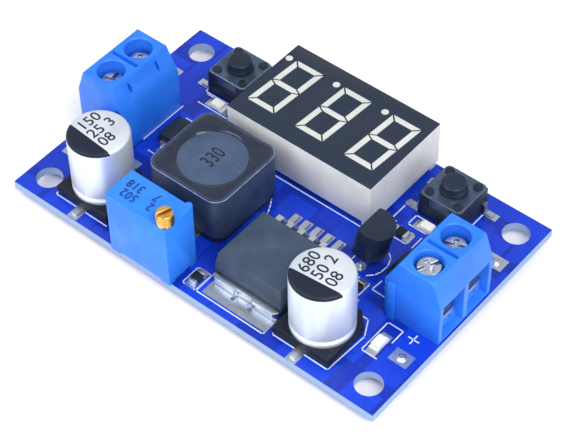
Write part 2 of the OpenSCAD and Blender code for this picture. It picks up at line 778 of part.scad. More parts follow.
// drawn can: rolled bead above the base, rounded top edge
module cap_can() {
    r = can_d/2;
    h = can_h - land_t;
    b = cap_base_h - can_seat;
    rotate_extrude($fn = round_fn)
        polygon([[0, b], [r, b], [r, bead_z], [r - bead_in, bead_z + 0.25], [r - bead_in, bead_z + 0.45],
                 [r, bead_z + 0.7], [r, h - 0.5], [r - 0.15, h - 0.15], [r - 0.5, h], [0, h]]);
}

// square base with two corners cut off and a round seat for the can
module cap_base() {
    w = cap_base_w/2;
    difference() {
        linear_extrude(cap_base_h)
            polygon([[-w, -w], [w, -w], [w, w - cap_chamfer], [w - cap_chamfer, w],
                     [-w + cap_chamfer, w], [-w, w - cap_chamfer]]);
        translate([0, 0, cap_base_h - can_seat]) cylinder(d = can_d + 0.04, h = cut, $fn = round_fn);
        cap_leads();
    }
}

module cap_leads() {
    w = cap_base_w/2;
    for (s = [0, 180]) rotate([0, 0, s]) {
        translate([-cap_lead_w/2, w - 2.9, 0]) cube([cap_lead_w, 2.9 + cap_lead_reach, cap_lead_t]);
        translate([-cap_lead_w/2, w - 2.9, 0]) cube([cap_lead_w, 0.6, cap_base_h - can_seat]);
    }
}

module output_capacitor_can() { color("silver") at_cap(out_cap_at) cap_can(); }
module output_capacitor_base() { color("dimgray") at_cap(out_cap_at) cap_base(); }
module output_capacitor_leads() { color("gainsboro") at_cap(out_cap_at) cap_leads(); }
module input_capacitor_can() { color("silver") at_cap(in_cap_at) cap_can(); }
module input_capacitor_base() { color("dimgray") at_cap(in_cap_at) cap_base(); }
module input_capacitor_leads() { color("gainsboro") at_cap(in_cap_at) cap_leads(); }

// ================= coil =================
module at_coil() { translate([coil_at[0], coil_at[1], seat + coil_terminal_t]) children(); }

// height of the coil's top above its base plate's underside
coil_top = coil_h - land_t - coil_terminal_t;

module coil_shield() {
    color("darkslategray") at_coil() difference() {
        translate([0, 0, coil_base_t]) rounded_plate(coil_w, coil_w, coil_top - coil_base_t, coil_r);
        cylinder(d = coil_bore, h = coil_top + cut, $fn = round_fn);
        translate([0, 0, coil_top - coil_edge]) cylinder(d1 = coil_bore, d2 = coil_bore + 2*coil_edge + 0.02,
            h = coil_edge + 0.01, $fn = round_fn);
    }
}

// drum core: two flanges on a post
module coil_core() {
    color("slategray") at_coil() {
        translate([0, 0, coil_base_t]) cylinder(d = core_d, h = core_flange_t, $fn = round_fn);
        translate([0, 0, coil_base_t]) cylinder(d = core_post_d, h = coil_top - coil_base_t - 0.3, $fn = small_fn);
        translate([0, 0, coil_top - coil_top_in - core_flange_t])
            cylinder(d = core_d, h = core_flange_t, $fn = round_fn);
    }
}

module coil_winding() {
    z = coil_base_t + core_flange_t;
    color("peru") at_coil() translate([0, 0, z]) difference() {
        cylinder(d = core_d - 0.4, h = coil_top - coil_top_in - core_flange_t - z, $fn = round_fn);
        translate([0, 0, -cut]) cylinder(d = core_post_d, h = coil_top, $fn = small_fn);
    }
}

// ring of resin between the drum's top flange and the shield
module coil_resin() {
    z = coil_top - coil_top_in - core_flange_t;
    color("midnightblue") at_coil() translate([0, 0, z + 0.2]) difference() {
        cylinder(d = coil_bore, h = core_flange_t - 0.35, $fn = round_fn);
        translate([0, 0, -cut]) cylinder(d = core_d, h = coil_top, $fn = round_fn);
    }
}

module coil_base() {
    color("dimgray") at_coil() rounded_plate(coil_w - 0.4, coil_w - 0.4, coil_base_t, coil_r - 0.2);
}

// flat terminals folded up over the edges of the base plate
module coil_terminals() {
    color("silver") at_coil() for (s = [0, 180]) rotate([0, 0, s]) {
        translate([-coil_terminal_w/2, coil_w/2 - 2.4, -coil_terminal_t])
            cube([coil_terminal_w, 2.4, coil_terminal_t]);
        translate([-coil_terminal_w/2, coil_w/2 - 0.2, -coil_terminal_t])
            cube([coil_terminal_w, coil_terminal_t, coil_terminal_t + coil_base_t*0.8]);
    }
}

// ================= trimmer =================
module trimmer_case() {
    x0 = trim_at[0] - trim_l/2;
    y0 = trim_at[1] - trim_w/2;
    color("cornflowerblue") difference() {
        union() {
            translate([x0, y0, top + trim_foot]) cube([trim_l, trim_w, trim_h - trim_foot]);
            translate([trim_at[0], trim_at[1], top]) corners(trim_l/2 - 0.7, trim_w/2 - 0.5)
                translate([-0.7, -0.5, 0]) cube([1.4, 1, trim_foot + 0.1]);
            // round rib up one corner of the back
            translate([trim_at[0] + trim_l/2 - 0.55, trim_at[1] + trim_w/2 - 0.1, top])
                cylinder(r = rib_r, h = trim_h + 0.1, $fn = small_fn);
        }
        // chamber of the worm wheel and the resistance element
        translate([x0 + trim_wall, y0 + trim_wall, top + trim_foot + trim_floor])
            cube([trim_l - 2*trim_wall, trim_w - 2*trim_wall, trim_h - trim_foot - trim_floor - trim_roof]);
        translate([trim_screw_at[0], trim_screw_at[1], top + trim_foot + 0.6]) {
            cylinder(d = worm_d + 2*fit, h = trim_h - trim_foot - 0.6 - trim_roof, $fn = small_fn);
            cylinder(d = neck_d + 2*fit, h = trim_h, $fn = small_fn);
        }
        for (i = [-1:1]) {
            p = trimmer_pin(i);
            translate([p[0], p[1], top]) cylinder(d = p[2], h = trim_foot + 1.5, $fn = small_fn);
        }
    }
}

// adjusting screw: slotted head, neck through the case, worm inside
module trimmer_screw() {
    z0 = top + trim_foot + 0.6 + fit;
    worm_top = top + trim_h - trim_roof - fit;
    color("goldenrod") translate([trim_screw_at[0], trim_screw_at[1], 0]) difference() {
        union() {
            translate([0, 0, z0]) cylinder(d = worm_d, h = worm_top - z0, $fn = small_fn);
            translate([0, 0, z0]) cylinder(d = neck_d, h = top + trim_h + 0.5 - z0, $fn = small_fn);
            translate([0, 0, top + trim_h + fit])
                cylinder(d = trim_screw_d, h = trim_screw_rise - fit - 0.15, $fn = round_fn);
            translate([0, 0, top + trim_h + trim_screw_rise - 0.15])
                cylinder(d1 = trim_screw_d, d2 = trim_screw_d - 0.2, h = 0.15, $fn = round_fn);
        }
        translate([0, 0, top + trim_h + trim_screw_rise - 0.7]) rotate([0, 0, 70])
            translate([-trim_screw_d, -0.26, 0]) cube([2*trim_screw_d, 0.52, cut]);
        // turned grooves of the worm
        for (i = [0:worm_turns - 1]) translate([0, 0, wheel_at[2] + (i - worm_turns/2 + 0.25)*worm_pitch])
            difference() {
                cylinder(d = worm_d + cut, h = worm_pitch*0.5, $fn = small_fn);
                translate([0, 0, -cut]) cylinder(d = worm_d - 0.36, h = 3*cut, $fn = small_fn);
            }
    }
}

// toothed wheel that carries the wiper, on a hub that turns in the element
module trimmer_wheel() {
    color("white") translate(wheel_at) rotate([-90, 0, 0]) {
        difference() {
            translate([0, 0, -wheel_t/2]) cylinder(d = wheel_d, h = wheel_t, $fn = round_fn);
            for (i = [0:wheel_teeth - 1]) rotate([0, 0, i*360/wheel_teeth])
                translate([wheel_d/2 - 0.35, -tooth_gap/2, -wheel_t/2 - cut])
                    cube([1, tooth_gap, wheel_t + 2*cut]);
        }
        translate([0, 0, 0]) cylinder(d = hub_d, h = element_y + element_t - wheel_at[1] + 0.1, $fn = small_fn);
    }
}

module trimmer_element() {
    x0 = trim_at[0] - trim_l/2 + trim_wall;
    color("white") difference() {
        translate([x0, element_y, top + trim_foot + trim_floor])
            cube([trim_l - 2*trim_wall, element_t, trim_h - trim_foot - trim_floor - trim_roof]);
        translate([wheel_at[0], element_y - cut, wheel_at[2]]) rotate([-90, 0, 0])
            cylinder(d = hub_d + 2*fit, h = element_t + 2*cut, $fn = small_fn);
        trimmer_pins();
    }
}

module trimmer_pins() {
    color("silver") for (i = [-1:1]) {
        p = trimmer_pin(i);
        translate([p[0], p[1], -pin_tail])
            cylinder(d = p[2], h = pin_tail + top + trim_foot + 2, $fn = small_fn);
    }
}

// ================= regulator =================
// moulded body: side faces lean in above and below the parting line
module moulded_body(l, w, h, split, lean_l, lean_w, lean_far) {
    intersection() {
        translate([0, w/2 + cut, 0]) rotate([90, 0, 0]) linear_extrude(w + 2*cut)
            polygon([[-l/2 + lean_l*0.3, 0], [-l/2, split], [-l/2 + lean_l, h],
                     [l/2 - lean_l, h], [l/2, split], [l/2 - lean_l*0.3, 0]]);
        translate([-l/2 - cut, 0, 0]) rotate([90, 0, 90]) linear_extrude(l + 2*cut)
            polygon([[-w/2 + lean_w*0.3, 0], [-w/2, split], [-w/2 + lean_w, h],
                     [w/2 - lean_far, h], [w/2, split], [w/2 - lean_w*0.3, 0]]);
    }
}

module regulator_body() {
    color("slategray") translate([reg_at[0], reg_at[1], seat + 0.02]) difference() {
        moulded_body(reg_w, reg_l, reg_h - land_t, reg_split, 0.3, 0.45, 0.12);
        // mould pin mark in the top
        translate([0, 0, reg_h - land_t - 0.1]) cylinder(d = 1.8, h = cut, $fn = small_fn);
        translate([-reg_at[0], -reg_at[1], -seat - 0.02]) regulator_leads();
        // seat of the metal tab
        translate([-reg_w/2 + 0.9, -reg_l/2 - cut, -cut])
            cube([reg_w - 1.8, reg_l - 1.5 + cut, cut + tab_t]);
    }
}

// metal tab: heat spreader under the body, ears cut at the outer corners
module regulator_tab() {
    w = reg_w/2 - 0.9;
    ear = reg_w/2 - 0.1;
    front = -reg_l/2 - tab_out;
    color("silver") translate([reg_at[0], reg_at[1], seat]) linear_extrude(tab_t)
        polygon([[-w, reg_l/2 - 1.5], [-w, -reg_l/2 - 0.02], [-ear, -reg_l/2 - 0.02], [-ear, front + 0.5],
                 [-ear + 0.5, front], [-1.4, front], [-1.1, front + 0.3], [1.1, front + 0.3], [1.4, front],
                 [ear - 0.5, front], [ear, front + 0.5], [ear, -reg_l/2 - 0.02],
                 [w, -reg_l/2 - 0.02], [w, reg_l/2 - 1.5]]);
}

module regulator_leads() {
    color("silver") for (i = [-2:2])
        translate([reg_at[0] + i*reg_pitch, reg_at[1] + reg_l/2 - 0.4, seat]) rotate([0, 0, 90])
            gull_wing(reg_lead_reach + 0.4, reg_lead_h, reg_lead_t, reg_lead_w, reg_knee, 2.2);
}

// ================= small parts =================
// flat-sided body of the small regulator, leaning on its legs
module transistor_body() {
    color("black") difference() {
        transistor_block();
        transistor_legs();
    }
}

module transistor_block() {
    translate([transistor_at[0], transistor_at[1], top + transistor_gap])
        rotate([0, transistor_lean, 0]) intersection() {
            cylinder(r = transistor_r, h = transistor_h, $fn = round_fn);
            translate([-transistor_flat, -transistor_r, 0])
                cube([transistor_flat + transistor_r, 2*transistor_r, transistor_h]);
        }
}

// three legs: spread at the board, closer together in the body
module transistor_legs() {
    color("silver") for (i = [-1:1]) {
        rise = transistor_gap - leg_knee;
        run = i*(leg_pitch - leg_spread);
        bend = top + leg_knee;
        translate([transistor_at[0], transistor_at[1] + i*leg_spread, 0])
            if (run == 0)
                translate([0, 0, -pin_tail]) cylinder(d = leg_d, h = pin_tail + bend + rise + 0.6, $fn = small_fn);
            else {
                translate([0, 0, -pin_tail]) cylinder(d = leg_d, h = pin_tail + bend, $fn = small_fn);
                // knee, a little fuller than the wire
                translate([0, 0, bend]) sphere(d = leg_d + 0.06, $fn = small_fn);
                translate([0, 0, bend]) rotate([-atan2(run, rise), 0, 0])
                    cylinder(d = leg_d, h = norm([run, rise]) + 0.6, $fn = small_fn);
            }
    }
}

module diode_bodies() {
    color("black") difference() {
        for (d = [catch_diode_at, input_diode_at])
            translate([d[0], d[1], seat + 0.1]) moulded_body(diode_w, diode_l, diode_h - 0.1, 1.1, 0.14, 0.2, 0.2);
        diode_leads();
    }
}

// strips that leave the body's ends and fold under it
module diode_leads() {
    color("silver") for (d = [catch_diode_at, input_diode_at], s = [0, 180])
        translate([d[0], d[1], seat]) rotate([0, 0, s])
            translate([diode_lead_w/2, 0, 0]) rotate([90, 0, -90]) linear_extrude(diode_lead_w)
                polygon([[-diode_l/2 + 0.4, 1.1], [-diode_l/2 - 0.3, 1.1], [-diode_l/2 - 0.3, 0],
                         [-diode_l/2 + 1, 0], [-diode_l/2 + 1, 0.2], [-diode_l/2 - 0.1, 0.2],
                         [-diode_l/2 - 0.1, 0.9], [-diode_l/2 + 0.4, 0.9]]);
}

module at_chip(c) { translate([c[0], c[1], seat]) rotate([0, 0, c[2]]) children(); }

module chip_bodies() {
    color("black") for (c = chips) at_chip(c)
        translate([-chip_l/2 + chip_end, -chip_w/2, 0.02]) cube([chip_l - 2*chip_end, chip_w, chip_h - 0.02]);
}

module chip_ends() {
    color("gainsboro") for (c = chips) at_chip(c) for (s = [-1, 1])
        translate([s*(chip_l/2 - chip_end/2) - chip_end/2, -chip_w/2, 0]) cube([chip_end, chip_w, chip_h]);
}

module lamp_lenses() {
    color("white") for (c = lamps) at_chip(c) translate([0, 0, lamp_base_h])
        moulded_body(lamp_l - 0.7, lamp_w, lamp_h - lamp_base_h, 0.05, 0.08, 0.08, 0.08);
}

module lamp_bases() {
    color("gold") for (c = lamps) at_chip(c)
        translate([-lamp_l/2, -lamp_w/2, 0]) cube([lamp_l, lamp_w, lamp_base_h]);
}

module controller_body() {
    color("black") difference() {
        translate([controller_at[0], controller_at[1], seat + 0.1])
            moulded_body(controller_w, controller_l, controller_h - 0.1, 0.45, 0.1, 0.1, 0.1);
        controller_leads();
    }
}

module controller_leads() {
    color("silver") for (i = [0:controller_pins - 1], s = [0, 180])
        translate([controller_at[0], controller_at[1], seat]) rotate([0, 0, s])
            translate([controller_w/2 - 0.2, (i - (controller_pins - 1)/2)*controller_pitch, 0])
                gull_wing(controller_reach + 0.2, 0.62, 0.14, 0.24, 0.35, 0.5);
}

board();
solder_pads();
solder_joints();
input_housing();
input_contacts();
output_housing();
output_contacts();
input_plus_guard();
input_minus_guard();
output_plus_guard();
output_minus_guard();
input_plus_screw();
input_minus_screw();
output_plus_screw();
output_minus_screw();
display_case();
display_windows();
display_board();
display_pins();
left_switch_base();
left_switch_cover();
left_switch_button();
left_switch_dome();
left_switch_leads();
right_switch_base();
right_switch_cover();
right_switch_button();
right_switch_dome();
right_switch_leads();
output_capacitor_can();
output_capacitor_base();
output_capacitor_leads();
input_capacitor_can();
input_capacitor_base();
input_capacitor_leads();
coil_shield();
coil_core();
coil_winding();
coil_resin();
coil_base();
coil_terminals();
trimmer_case();
trimmer_screw();
trimmer_wheel();
trimmer_element();
trimmer_pins();
regulator_body();
regulator_tab();
regulator_leads();
transistor_body();
transistor_legs();
diode_bodies();
diode_leads();
chip_bodies();
chip_ends();
lamp_lenses();
lamp_bases();
controller_body();
controller_leads();
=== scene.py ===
import json
import math

import bmesh
import bpy
from mathutils import Matrix, Vector


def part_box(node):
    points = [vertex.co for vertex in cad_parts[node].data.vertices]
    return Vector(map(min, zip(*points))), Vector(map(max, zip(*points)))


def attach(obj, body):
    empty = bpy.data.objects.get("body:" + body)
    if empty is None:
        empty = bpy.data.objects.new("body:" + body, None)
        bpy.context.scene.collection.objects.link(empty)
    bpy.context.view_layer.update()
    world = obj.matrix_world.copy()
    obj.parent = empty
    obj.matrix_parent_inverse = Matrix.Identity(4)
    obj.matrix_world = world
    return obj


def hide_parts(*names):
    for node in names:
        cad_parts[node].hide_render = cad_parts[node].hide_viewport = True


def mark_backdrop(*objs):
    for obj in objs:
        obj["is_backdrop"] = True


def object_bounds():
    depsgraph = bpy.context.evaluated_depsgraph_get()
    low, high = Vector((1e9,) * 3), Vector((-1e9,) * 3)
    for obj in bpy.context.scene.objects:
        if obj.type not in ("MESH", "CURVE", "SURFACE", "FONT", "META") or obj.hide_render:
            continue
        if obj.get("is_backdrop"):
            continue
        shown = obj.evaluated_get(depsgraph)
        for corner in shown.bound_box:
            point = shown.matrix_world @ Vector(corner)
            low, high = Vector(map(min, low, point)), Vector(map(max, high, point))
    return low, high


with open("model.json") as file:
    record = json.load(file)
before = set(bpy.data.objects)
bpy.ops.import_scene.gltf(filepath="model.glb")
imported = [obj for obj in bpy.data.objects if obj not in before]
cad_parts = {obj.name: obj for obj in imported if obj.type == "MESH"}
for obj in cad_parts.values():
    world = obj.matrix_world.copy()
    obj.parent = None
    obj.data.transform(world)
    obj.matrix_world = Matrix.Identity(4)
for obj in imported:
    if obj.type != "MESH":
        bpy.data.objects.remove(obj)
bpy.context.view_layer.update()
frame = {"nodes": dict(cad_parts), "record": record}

bl_info = {
    "name": "Converter Module",
    "version": (1, 0, 0),
    "blender": (4, 5, 0),
    "location": "View3D > Sidebar > Module",
    "description": "Dresses a step-down converter module and lights it in a studio",
    "category": "Object",
}

MM = 0.001
# thickness of printed figures
INK_HEIGHT = 0.004 * MM
ROOT = "module"


# ---------------------------------------------------------------- colours
def shade(code):
    """Linear colour of a hex code, with alpha."""
    parts = [int(code[i:i + 2], 16) / 255 for i in (0, 2, 4)]
    return [c / 12.92 if c <= 0.04045 else ((c + 0.055) / 1.055) ** 2.4 for c in parts] + [1.0]


def colour_setting(name, description, code):
    return bpy.props.FloatVectorProperty(
        name=name, description=description, subtype="COLOR", size=4, min=0, max=1, default=shade(code))


def length_setting(name, description, metres):
    return bpy.props.FloatProperty(
        name=name, description=description, subtype="DISTANCE", unit="LENGTH", min=0, default=metres,
        precision=5)


# ---------------------------------------------------------------- shader groups
def new_group(name, inputs, outputs):
    """Empty shader node group with float or vector inputs and outputs."""
    group = bpy.data.node_groups.new(name, "ShaderNodeTree")
    for label, kind, default in inputs:
        socket = group.interface.new_socket(label, in_out="INPUT", socket_type="NodeSocket" + kind)
        if default is not None:
            socket.default_value = default
    for label, kind in outputs:
        group.interface.new_socket(label, in_out="OUTPUT", socket_type="NodeSocket" + kind)
    return group, group.nodes.new("NodeGroupInput"), group.nodes.new("NodeGroupOutput")


def math_node(tree, operation, a, b=None, c=None, clamp=False):
    node = tree.nodes.new("ShaderNodeMath")
    node.operation = operation
    node.use_clamp = clamp
    for i, value in enumerate((a, b, c)):
        if value is None:
            continue
        if isinstance(value, (int, float)):
            node.inputs[i].default_value = value
        else:
            tree.links.new(value, node.inputs[i])
    return node.outputs[0]


def noise_node(tree, vector, scale, detail, rough=0.55, stretch=None):
    if stretch is not None:
        mapping = tree.nodes.new("ShaderNodeMapping")
        mapping.inputs["Scale"].default_value = stretch
        tree.links.new(vector, mapping.inputs["Vector"])
        vector = mapping.outputs["Vector"]
    node = tree.nodes.new("ShaderNodeTexNoise")
    node.inputs["Detail"].default_value = detail
    node.inputs["Roughness"].default_value = rough
    tree.links.new(vector, node.inputs["Vector"])
    if isinstance(scale, (int, float)):
        node.inputs["Scale"].default_value = scale
    else:
        tree.links.new(scale, node.inputs["Scale"])
    return node.outputs["Fac"]


def ramp_node(tree, value, low, high):
    node = tree.nodes.new("ShaderNodeMapRange")
    node.interpolation_type = "SMOOTHSTEP"
    tree.links.new(value, node.inputs["Value"])
    node.inputs["From Min"].default_value = low
    node.inputs["From Max"].default_value = high
    return node.outputs["Result"]


def build_surface_grain():
    """Slow colour drift and fine mould or cast texture."""
    group, gin, gout = new_group(
        "Surface grain",
        [("Vector", "Vector", None), ("Drift Scale", "Float", 300.0), ("Grain Scale", "Float", 6000.0)],
        [("Drift", "Float"), ("Grain", "Float")])
    drift = noise_node(group, gin.outputs["Vector"], gin.outputs["Drift Scale"], 3.0)
    grain = noise_node(group, gin.outputs["Vector"], gin.outputs["Grain Scale"], 2.0, 0.6)
    group.links.new(ramp_node(group, drift, 0.28, 0.72), gout.inputs["Drift"])
    group.links.new(grain, gout.inputs["Grain"])
    return group


def build_fine_scratches():
    """Hair scratches that run two ways."""
    group, gin, gout = new_group(
        "Fine scratches",
        [("Vector", "Vector", None), ("Scale", "Float", 900.0)],
        [("Scratches", "Float")])
    first = noise_node(group, gin.outputs["Vector"], gin.outputs["Scale"], 2.0, 0.5, (1.0, 14.0, 3.0))
    second = noise_node(group, gin.outputs["Vector"], gin.outputs["Scale"], 2.0, 0.5, (12.0, 1.3, 3.0))
    wear_and_edge_highlight = noise_node(group, gin.outputs["Vector"], 220.0, 1.0)
    lines = math_node(group, "MAXIMUM", ramp_node(group, first, 0.66, 0.72),
                      ramp_node(group, second, 0.68, 0.74))
    shown_lines = math_node(group, "MULTIPLY", lines, ramp_node(group, wear_and_edge_highlight, 0.45, 0.7))
    group.links.new(shown_lines, gout.inputs["Scratches"])
    return group


def build_dust_specks():
    """Small pale specks and pits scattered over a surface."""
    group, gin, gout = new_group(
        "Dust specks",
        [("Vector", "Vector", None), ("Scale", "Float", 1600.0), ("Size", "Float", 0.1)],
        [("Specks", "Float")])
    cells = group.nodes.new("ShaderNodeTexVoronoi")
    cells.feature = "F1"
    group.links.new(gin.outputs["Vector"], cells.inputs["Vector"])
    group.links.new(gin.outputs["Scale"], cells.inputs["Scale"])
    near = math_node(group, "LESS_THAN", cells.outputs["Distance"], gin.outputs["Size"])
    wear_and_edge_highlight = noise_node(group, gin.outputs["Vector"], 150.0, 2.0)
    shown_specks = math_node(group, "MULTIPLY", near, ramp_node(group, wear_and_edge_highlight, 0.5, 0.62))
    group.links.new(shown_specks, gout.inputs["Specks"])
    return group


GROUPS = {}


def place_group(tree, name, vector, **values):
    """Places a shared group in a material with its own values."""
    makers = {"Surface grain": build_surface_grain, "Fine scratches": build_fine_scratches,
              "Dust specks": build_dust_specks}
    if name not in GROUPS:
        GROUPS[name] = makers[name]()
    node = tree.nodes.new("ShaderNodeGroup")
    node.node_tree = GROUPS[name]
    tree.links.new(vector, node.inputs["Vector"])
    for label, value in values.items():
        node.inputs[label.replace("_", " ")].default_value = value
    return node


def mix_colours(tree, factor, a, b):
    node = tree.nodes.new("ShaderNodeMix")
    node.data_type = "RGBA"
    tree.links.new(factor, node.inputs["Factor"])
    for socket, value in ((node.inputs[6], a), (node.inputs[7], b)):
        if isinstance(value, (list, tuple)):
            socket.default_value = value
        else:
            tree.links.new(value, socket)
    return node.outputs[2]


def finish(name, colour, drift, rough=(0.4, 0.5), metallic=0.0, drift_scale=300.0, grain_scale=6000.0,
           bump=0.1, depth=0.00002, scratches=0.0, scratch_colour=None, specks=0.0, speck_scale=1600.0,
           speck_colour=None, coat=0.0, coat_rough=0.1, spec=0.25, overlay=None, subsurface=0.0,
           transmission=0.0, ior=1.5, stretch=None):
    """A procedural material: drifting colour and gloss, fine grain, hair scratches and specks.

    overlay(tree, coordinates, colour) may lay a printed or plated pattern over the colour and
    returns the new colour and, if it has one, a mask that makes the roughness and metal differ."""
    material = bpy.data.materials.new(name)
    material.use_nodes = True
    tree = material.node_tree
    shader = tree.nodes["Principled BSDF"]
    coords = tree.nodes.new("ShaderNodeTexCoord").outputs["Object"]
    place = coords
    if stretch is not None:
        mapping = tree.nodes.new("ShaderNodeMapping")
        mapping.inputs["Scale"].default_value = stretch
        tree.links.new(coords, mapping.inputs["Vector"])
        place = mapping.outputs["Vector"]
    grain = place_group(tree, "Surface grain", place, Drift_Scale=drift_scale, Grain_Scale=grain_scale)
    base = mix_colours(tree, grain.outputs["Drift"], list(colour), list(drift))
    gloss = tree.nodes.new("ShaderNodeMapRange")
    tree.links.new(grain.outputs["Drift"], gloss.inputs["Value"])
    gloss.inputs["To Min"].default_value, gloss.inputs["To Max"].default_value = rough
    rough_out = gloss.outputs["Result"]
    height = grain.outputs["Grain"]
    if scratches > 0:
        hair = place_group(tree, "Fine scratches", coords)
        mask = math_node(tree, "MULTIPLY", hair.outputs["Scratches"], scratches)
        base = mix_colours(tree, mask, base, list(scratch_colour or drift))
        height = math_node(tree, "SUBTRACT", height, mask)
    if specks > 0:
        dust = place_group(tree, "Dust specks", coords, Scale=speck_scale)
        mask = math_node(tree, "MULTIPLY", dust.outputs["Specks"], specks)
        base = mix_colours(tree, mask, base, list(speck_colour or drift))
        height = math_node(tree, "ADD", height, mask)
    if overlay is not None:
        base, changed = overlay(tree, coords, base)
        if changed is not None:
            mask, other_rough, other_metal = changed
            blend = tree.nodes.new("ShaderNodeMix")
            tree.links.new(mask, blend.inputs[0])
            tree.links.new(rough_out, blend.inputs[2])
            blend.inputs[3].default_value = other_rough
            rough_out = blend.outputs[0]
            if other_metal is not None:
                metal = tree.nodes.new("ShaderNodeMix")
                tree.links.new(mask, metal.inputs[0])
                metal.inputs[2].default_value = metallic
                metal.inputs[3].default_value = other_metal
                tree.links.new(metal.outputs[0], shader.inputs["Metallic"])
    tree.links.new(base, shader.inputs["Base Color"])
    tree.links.new(rough_out, shader.inputs["Roughness"])
    relief = tree.nodes.new("ShaderNodeBump")
    relief.inputs["Strength"].default_value = bump
    relief.inputs["Distance"].default_value = depth
    tree.links.new(height, relief.inputs["Height"])
    tree.links.new(relief.outputs["Normal"], shader.inputs["Normal"])
    shader.inputs["Metallic"].default_value = metallic
    shader.inputs["Specular IOR Level"].default_value = spec
    shader.inputs["Coat Weight"].default_value = coat
    shader.inputs["Coat Roughness"].default_value = coat_rough
    shader.inputs["Transmission Weight"].default_value = transmission
    shader.inputs["IOR"].default_value = ior
    if subsurface > 0:
        shader.inputs["Subsurface Weight"].default_value = subsurface
        shader.inputs["Subsurface Radius"].default_value = (0.0006, 0.0007, 0.0012)
        shader.inputs["Subsurface Scale"].default_value = 1.0
    return material


def coordinate(tree, coords, axis):
    node = tree.nodes.new("ShaderNodeSeparateXYZ")
    tree.links.new(coords, node.inputs[0])
    return node.outputs[axis]


# ---------------------------------------------------------------- mesh helpers
def shown(name, mesh, material, body, replaced=()):
    """Links a finished mesh that lies in place, rides it on a body and says what it stands for."""
    piece = bpy.data.objects.new(name, mesh)
    bpy.context.scene.collection.objects.link(piece)
    if material is not None:
        mesh.materials.clear()
        mesh.materials.append(material)
    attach(piece, body)
    if replaced:
        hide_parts(*replaced)
    return piece


def body_of(node):
    for body, nodes in frame["record"]["behaviour"]["bodies"].items():
        if node in nodes:
            return body
    return ROOT


def dress(node, material):
    """Gives a solid that keeps its own shape a finish."""
    mesh = frame["nodes"][node].data
    mesh.materials.clear()
    mesh.materials.append(material)


def soften(node, width, material, angle=28, segments=2, name=None, wear_and_edge_highlight=None):
    """A copy of a solid with its sharp edges rounded, which stands for the solid."""
    mesh = frame["nodes"][node].data.copy()
    work = bmesh.new()
    work.from_mesh(mesh)
    bmesh.ops.remove_doubles(work, verts=work.verts, dist=0.0000005)
    bmesh.ops.dissolve_limit(work, angle_limit=math.radians(0.6), verts=work.verts, edges=work.edges)
    work.to_mesh(mesh)
    work.free()
    temp = bpy.data.objects.new("temp", mesh)
    bpy.context.scene.collection.objects.link(temp)
    bevel = temp.modifiers.new("Rounded edges", "BEVEL")
    bevel.width = width
    bevel.segments = segments
    bevel.limit_method = "ANGLE"
    bevel.angle_limit = math.radians(angle)
    bevel.use_clamp_overlap = True
    # the second material, if given, colours the rounded edges lighter: a painted highlight where the edges
    # catch the light
    if wear_and_edge_highlight is not None:
        mesh.materials.clear()
        mesh.materials.append(material)
        mesh.materials.append(wear_and_edge_highlight)
        bevel.material = 1
    graph = bpy.context.evaluated_depsgraph_get()
    result = bpy.data.meshes.new_from_object(temp.evaluated_get(graph))
    bpy.data.objects.remove(temp)
    smooth_by_angle(result, 50)
    skin = None if wear_and_edge_highlight else material
    return shown(name or node + "_form", result, skin, body_of(node), (node,))


def smooth_by_angle(mesh, degrees):
    for polygon in mesh.polygons:
        polygon.use_smooth = True
    mesh.set_sharp_from_angle(angle=math.radians(degrees))


def mesh_from(name, build):
    """Runs build(bm) on an empty mesh and returns the mesh."""
    mesh = bpy.data.meshes.new(name)
    work = bmesh.new()
    build(work)
    work.to_mesh(mesh)
    work.free()
    return mesh


def flat_strip(work, points, width, z, height=0.012 * MM):
    """Raised strips along a polyline, given in millimetres."""
    half = width * MM / 2
    for (x0, y0), (x1, y1) in zip(points[:-1], points[1:]):
        a, b = Vector((x0 * MM, y0 * MM)), Vector((x1 * MM, y1 * MM))
        along = (b - a).normalized() if (b - a).length else Vector((1, 0))
        side = Vector((-along.y, along.x)) * half
        a, b = a - along * half, b + along * half
        corners = [a + side, a - side, b - side, b + side]
        low = [work.verts.new((c.x, c.y, z)) for c in corners]
        high = [work.verts.new((c.x, c.y, z + height)) for c in corners]
        work.faces.new(high)
        for i in range(4):
            j = (i + 1) % 4
            work.faces.new((low[i], low[j], high[j], high[i]))


def box_line(x0, y0, x1, y1):
    return [(x0, y0), (x1, y0), (x1, y1), (x0, y1), (x0, y0)]


def arc(cx, cy, r, start, end, steps=14):
    return [(cx + r * math.cos(math.radians(start + (end - start) * i / steps)),
             cy + r * math.sin(math.radians(start + (end - start) * i / steps))) for i in range(steps + 1)]


def printed_text(text, size, place, turn, height=INK_HEIGHT, gap=1.0, bold=0.0, align="CENTER", narrow=1.0):
    """Mesh of plain figures that lie flat at a place in metres, turned about Z."""
    curve = bpy.data.curves.new("figures", "FONT")
    curve.body = text
    curve.size = size * MM
    curve.align_x, curve.align_y = align, "BOTTOM_BASELINE" if align == "LEFT" else "CENTER"
    curve.space_character = gap
    curve.offset = bold * MM
    curve.extrude = height / 2
    curve.resolution_u = 3
    temp = bpy.data.objects.new("temp", curve)
    bpy.context.scene.collection.objects.link(temp)
    graph = bpy.context.evaluated_depsgraph_get()
    mesh = bpy.data.meshes.new_from_object(temp.evaluated_get(graph))
    bpy.data.objects.remove(temp)
    mesh.transform(Matrix.Translation(place) @ Matrix.Rotation(math.radians(turn), 4, "Z")
                   @ Matrix.Diagonal((narrow, 1, 1, 1)))
    return mesh


def joined(name, meshes):
    """One mesh from several."""
    work = bmesh.new()
    for mesh in meshes:
        work.from_mesh(mesh)
    result = bpy.data.meshes.new(name)
    work.to_mesh(result)
    work.free()
    return result


def centre_of(node):
    low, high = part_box(node)
    return (low + high) / 2


